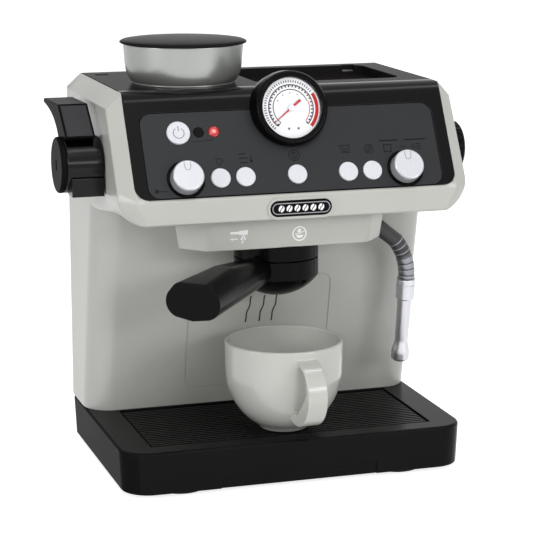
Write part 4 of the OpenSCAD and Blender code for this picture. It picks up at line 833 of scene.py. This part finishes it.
def dial_print():
    """Ticks, scale, red zone, hub, rivets and dots of the dial."""
    start, end, middle = SCALE_START, SCALE_END, (0, 0)
    p = Print("dial_outer_ticks", GAUGE, GREY_PRINT, "machine")
    ticks, last_tick = 36, 37.0
    for i in range(ticks):
        a = start - i * (start - last_tick) / (ticks - 1)
        p.line([around(0.84, a), around(0.92, a)], 0.72)
    p.done()
    p = Print("dial_inner_scale", GAUGE, BLACK_PRINT, "machine")
    p.arc(middle, DIAL_R * 0.77, start, end, 0.42, n=90)
    steps = 56
    for i in range(steps + 1):
        a = start + (end - start) * i / steps
        inner, width = (0.685, 0.85) if i % 2 == 0 else (0.73, 0.6)
        p.line([around(0.765, a), around(inner, a)], width)
    p.arc(middle, DIAL_R * 0.61, start, RED_START, 0.5, n=70)
    p.line([around(0.61, start), around(0.605, start + 3), around(0.75, start + 3.2),
            around(0.765, start)], 0.45)
    p.line([around(0.635, end + 1), around(0.78, end - 0.5), around(0.765, end)], 0.45)
    p.done()
    p = Print("dial_red_arc", GAUGE, RED_PRINT, "machine")
    p.arc(middle, DIAL_R * 0.635, RED_START, end + 1, 0.5, n=36)
    p.arc(middle, DIAL_R * 0.888, 31.0, -43.5, DIAL_R * 0.115, n=48)
    p.done()
    p = Print("dial_hub_print", GAUGE, HUB_PRINT, "machine", height=0.02)
    p.dot(middle, 2.1)
    p.done()
    p = Print("dial_rivets", GAUGE, RIVET_PRINT, "machine", height=0.12)
    for c in ((-2.3, -12.2), (3.6, -12.2)):
        p.dot(c, 0.72)
    p.done()
    p = Print("dial_number_marks", GAUGE, BLACK_PRINT, "machine", height=0.03)
    for a in range(60, 151, 30):
        p.dot(around(0.5, a), 0.35, n=16)
    p.done()


dial_print()

# ---- Printed signs on the panel ----

# The inlay's face lies this far out of the plane PANEL
FACE = -0.2


def cup_sign(p, c, w, h, line):
    """A cup from the side: w wide at its mouth and h high."""
    x, y = c
    p.line([(x - w / 2, y + h / 2), (x + w / 2, y + h / 2), (x + w * 0.36, y - h * 0.2),
            (x + w * 0.2, y - h / 2), (x - w * 0.2, y - h / 2), (x - w * 0.36, y - h * 0.2)],
           line, closed=True)


def bean_sign(p, c, r, line, turn=0.0):
    """A coffee bean: an oval outline with a curved seam."""
    p.line([turned_about(c, u * 0.72, v, turn) for u, v in ring_points(r, 24)], line, closed=True)
    seam = [i / 5 - 0.9 for i in range(10)]
    p.line([turned_about(c, r * 0.2 * math.sin(k * math.pi), r * k, turn) for k in seam], line)


def panel_print():
    """Small signs over the buttons and knobs, and the dot and line at the panel's left end."""
    p = Print("panel_signs", PANEL, PRINT, "machine", off=FACE)
    cup_sign(p, (-46.4, 21.6), 3.4, 3.8, 0.4)
    p.arc((-44.4, 22.1), 0.8, -80, 80, 0.35, n=10)
    for y, x0, x1 in ((25.6, -34.0, -29.6), (23.0, -34.0, -28.9), (20.2, -33.9, -29.2)):
        p.line([(x0, y), ((x0 + x1) / 2, y + 0.25), (x1, y)], 0.55)
    p.line([(-26.8, 24.2), (-26.8, 20.9)], 0.6)
    p.fill([(-28.0, 21.6), (-26.8, 19.8), (-25.6, 21.6)])
    p.arc((-0.3, 23.3), 3.2, 0, 360, 0.5, n=32)
    bean_sign(p, (-0.3, 23.3), 2.0, 0.4, 20)
    cup_sign(p, (31.6, 26.0), 6.2, 3.9, 0.45)
    p.line([(30.2, 26.9), (31.6, 25.0), (33.0, 26.9)], 0.4)
    p.line([(28.8, 23.4), (34.4, 23.4)], 0.4)
    p.arc((46.7, 25.2), 2.8, 0, 360, 0.45, n=32)
    bean_sign(p, (46.7, 25.2), 1.8, 0.4, -20)
    p.line([(56.2, 27.2), (60.9, 27.2), (60.5, 22.8), (56.2, 22.8)], 0.5, closed=True)
    p.line([(53.6, 29.8), (65.6, 29.8)], 0.75)
    p.line([(69.7, 29.8), (83.5, 29.8)], 0.75)
    for y in (26.9, 25.4, 23.9):
        p.line([(76.6, y), (79.7, y)], 0.45)
    p.line([(75.8, 26.6), (74.0, 25.4), (75.8, 24.2)], 0.45)
    p.line([(66.8, 25.6), (68.0, 26.1), (69.0, 25.2), (70.2, 25.5)], 0.4)
    p.line([(-60.8, 34.4), (-52.8, 34.9), (-47.6, 35.4)], 0.35)
    p.dot((-85.5, 5.4), 1.25)
    p.line([(-84.0, 5.3), (-79.0, 5.1)], 0.45)
    p.done()


panel_print()


def knob_shadow_rings():
    """Black ring on the panel round each dial knob: painted shadow at the knob's foot."""
    ring_width = 1.9
    p = Print("knob_shadow_rings", PANEL, BLACK, "machine", off=FACE, height=0.06)
    for node in ("dial_knob_left", "dial_knob_right"):
        low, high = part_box(node)
        x = source_mm((low + high) / 2).x
        p.dot((x, KNOB_UP), (high - low).x / MM / 2 + ring_width, n=48)
    p.done()


knob_shadow_rings()


def knob_print(side, body):
    """Index mark printed on the knob's face: a small U at its top edge."""
    x, y = side * KNOB_ACROSS, KNOB_UP
    p = Print(f"knob_mark_{body}", PANEL, GREY_LINE, body, off=KNOB_PROUD, height=0.03)
    p.line([(x - 1.9, y + 8.2), (x - 1.75, y + 4.6), (x - 1.2, y + 3.5), (x, y + 3.1),
            (x + 1.2, y + 3.5), (x + 1.75, y + 4.6), (x + 1.9, y + 8.2)], 0.36)
    p.done()


knob_print(-1, "dial_knob_left")
knob_print(1, "dial_knob_right")


def power_print():
    """Power sign on its button: a ring open at the top, with a short line in the gap."""
    x, y = POWER_SPOT
    p = Print("power_sign", PANEL, GREY_LINE, "power_button", off=BUTTON_PROUD, height=0.03)
    p.arc((x, y - 0.4), 3.2, 122, 418, 0.5, n=40)
    p.line([(x, y + 0.9), (x, y + 4.0)], 0.55)
    p.done()


power_print()

# ---- Signs on the brow ----


def brow_print():
    """Two white signs: a portafilter with its spouts and an arrow, and a cup in a ring."""
    p = Print("brow_signs", BROW, WHITE_PRINT, "machine")
    p.fill([(-36.4, 9.9), (-31.4, 9.7), (-30.8, 9.3), (-25.9, 9.1), (-25.5, 12.0), (-30.8, 11.7),
            (-31.4, 11.3), (-36.4, 11.3)])
    p.fill([(-36.6, 6.8), (-34.9, 5.9), (-34.9, 7.6)])
    p.line([(-35.2, 6.8), (-32.0, 6.8)], 0.55)
    p.line([(-28.3, 9.4), (-28.3, 8.0)], 0.8)
    p.line([(-28.6, 8.4), (-29.9, 6.2)], 0.85)
    p.line([(-28.0, 8.4), (-27.2, 6.2)], 0.85)
    p.dot((-29.0, 4.7), 0.7, squash=0.7, turn=60)
    p.dot((-28.6, 6.1), 0.55, squash=0.7, turn=50)
    p.arc((6.6, 7.9), 4.1, 0, 360, 0.75, n=40)
    p.fill([(4.3, 7.1), (9.0, 7.1), (8.5, 6.0), (7.6, 5.3), (5.7, 5.3), (4.8, 6.0)])
    p.line([(3.9, 7.8), (6.4, 8.0), (9.7, 9.3)], 0.5)
    p.dot((6.5, 9.7), 1.35, squash=0.85, turn=20)
    p.done()


brow_print()

# ---- Badge: a thin light outline, a painted rim highlight, round a row of coffee beans ----

BADGE_UP = 170
BADGE = leaning((0, -71.7, BADGE_UP), 0)


def badge_print():
    """Badge without words: a thin light outline, a painted rim highlight, round six beans, each in
    two halves.
    """
    low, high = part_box("badge_plate")
    middle = source_mm((low + high) / 2).z - BADGE_UP
    half, r, line = 14.4, 3.1, 0.55
    # Painted rim highlight round the badge.
    p = Print("badge_painted_rim_highlight", BADGE, BADGE_RIM_HIGHLIGHT, "machine")
    pts = [turned_about((half, middle), r, 0, a) for a in range(-90, 91, 12)]
    pts += [turned_about((-half, middle), r, 0, a) for a in range(90, 271, 12)]
    p.line(pts, line, closed=True)
    p.done()
    p = Print("badge_beans", BADGE, WHITE_PRINT, "machine")
    first, pitch, turn, seam_half = -12.2, 4.88, -24, 0.28
    angles = [math.radians(a) for a in range(-84, 85, 14)]
    outline = [(1.45 * math.cos(a) + seam_half, 1.95 * math.sin(a)) for a in angles]
    seam = [(seam_half + 0.3 * math.sin(k * math.pi), 1.9 * k)
            for k in (0.75, 0.35, 0, -0.35, -0.75)]
    for i in range(6):
        for side in (-1, 1):
            p.fill([turned_about((first + i * pitch, middle), u * side, v * side, turn)
                    for u, v in outline + seam])
    p.done()


badge_print()

# ---- Steam lines on the column's front ----

# The lines' places across, their ends up the column, and how far each sways
STEAM = (-5.7, 3.3, 11.3)
STEAM_TOP, STEAM_LOW, STEAM_LEAN = 72.7, 54.8, 2.9


def steam_lines():
    """Three thin lines that sway to the left as they go down."""
    p = Print("steam_lines", COLUMN, DARK_PRINT, "machine")
    for x in STEAM:
        pts = []
        for i in range(17):
            k = i / 16
            sway = 0.5 - 0.5 * math.cos(math.pi * k) + 0.1 * math.sin(4 * math.pi * k)
            pts.append((x - STEAM_LEAN * sway, STEAM_TOP + (STEAM_LOW - STEAM_TOP) * k))
        p.line(pts, 0.9)
    p.done()


steam_lines()

# ---- Stage, light and camera ----

# Strength of the white surroundings on the object, and of the glow that whitens the floor
AMBIENT = 0.3
FLOOR_LIFT = 0.78


def seen_direct(tree):
    """1 for the rays that show the background: the camera's, off gloss and through lenses."""
    path = tree.nodes.new("ShaderNodeLightPath")
    seen = path.outputs["Is Camera Ray"]
    for kind in ("Is Transmission Ray", "Is Glossy Ray"):
        either = tree.nodes.new("ShaderNodeMath")
        either.operation = "MAXIMUM"
        tree.links.new(seen, either.inputs[0])
        tree.links.new(path.outputs[kind], either.inputs[1])
        seen = either.outputs["Value"]
    return seen


def world():
    """White where it is seen, and a weaker light on the object."""
    w = bpy.data.worlds.new("studio")
    bpy.context.scene.world = w
    w.use_nodes = True
    t = w.node_tree
    back = t.nodes["Background"]
    back.inputs["Color"].default_value = (1, 1, 1, 1)
    level = t.nodes.new("ShaderNodeMapRange")
    level.inputs["To Min"].default_value = AMBIENT
    level.inputs["To Max"].default_value = 1.0
    t.links.new(seen_direct(t), level.inputs["Value"])
    t.links.new(level.outputs["Result"], back.inputs["Strength"])


def floor():
    """A wide white floor, lifted by a glow only where it is seen."""
    bm = bmesh.new()
    bmesh.ops.create_grid(bm, x_segments=8, y_segments=8, size=4)
    mesh = bpy.data.meshes.new("floor")
    bm.to_mesh(mesh)
    bm.free()
    o = bpy.data.objects.new("floor", mesh)
    bpy.context.scene.collection.objects.link(o)
    m = bpy.data.materials.new("floor_white")
    m.use_nodes = True
    t = m.node_tree
    bsdf = t.nodes["Principled BSDF"]
    bsdf.inputs["Base Color"].default_value = (0.9, 0.9, 0.9, 1)
    bsdf.inputs["Roughness"].default_value = 0.6
    bsdf.inputs["Emission Color"].default_value = (1, 1, 1, 1)
    lift = t.nodes.new("ShaderNodeMapRange")
    lift.inputs["To Min"].default_value = 0.0
    lift.inputs["To Max"].default_value = FLOOR_LIFT
    t.links.new(seen_direct(t), lift.inputs["Value"])
    t.links.new(lift.outputs["Result"], bsdf.inputs["Emission Strength"])
    mesh.materials.append(m)


def area(name, place, target, size, power):
    """A lamp with a flat face that looks at the target."""
    data = bpy.data.lights.new(name, "AREA")
    data.energy = power
    data.shape = "RECTANGLE"
    data.size, data.size_y = size
    o = bpy.data.objects.new(name, data)
    bpy.context.scene.collection.objects.link(o)
    o.location = place
    o.rotation_euler = (Vector(target) - Vector(place)).to_track_quat("-Z", "Y").to_euler()


# The photo's camera: its focal length and the photo's width in pixels, its turn to the right and
# its tilt down in degrees, and its place in the source's millimetres
FOCAL_PX, PHOTO_PX = 1978.966, 533
SENSOR = 36
YAW, PITCH = 17.619, 12.057
VIEWPOINT = (-362.846, -1146.85, 377.054)


def camera():
    """The camera that was fitted to the photo."""
    yaw, pitch = math.radians(YAW), math.radians(PITCH)
    look = Vector((math.sin(yaw) * math.cos(pitch), math.cos(yaw) * math.cos(pitch),
                   -math.sin(pitch)))
    right = Vector((math.cos(yaw), -math.sin(yaw), 0))
    up = right.cross(look)
    data = bpy.data.cameras.new("camera")
    data.sensor_width = SENSOR
    data.lens = SENSOR * FOCAL_PX / PHOTO_PX
    data.clip_start = 0.01
    o = bpy.data.objects.new("camera", data)
    bpy.context.scene.collection.objects.link(o)
    turn = Matrix((right, up, -look)).transposed().to_4x4()
    o.matrix_world = Matrix.Translation(at(*VIEWPOINT)) @ turn
    bpy.context.scene.camera = o


world()
floor()
area("key", (-0.8, -1.3, 0.7), (0, 0, 0.12), (0.45, 0.45), 3.8)
area("front", (0.42, -1.4, 0.55), (0.05, 0, 0.15), (0.7, 0.14), 2.9)
area("right", (0.9, -1.3, 0.5), (0, 0, 0.14), (0.3, 0.5), 3.8)
area("left", (-1.5, -0.5, 0.5), (0, 0, 0.14), (0.5, 0.5), 5.6)
area("overhead", (0.42, -0.3, 1.5), (0.05, -0.05, 0.1), (1.5, 0.12), 3.8)
area("softbox", (-0.1, -0.95, 1.15), (0, 0, 0.15), (0.3, 0.3), 3.0)
camera()
bpy.context.scene.view_settings.view_transform = "Standard"
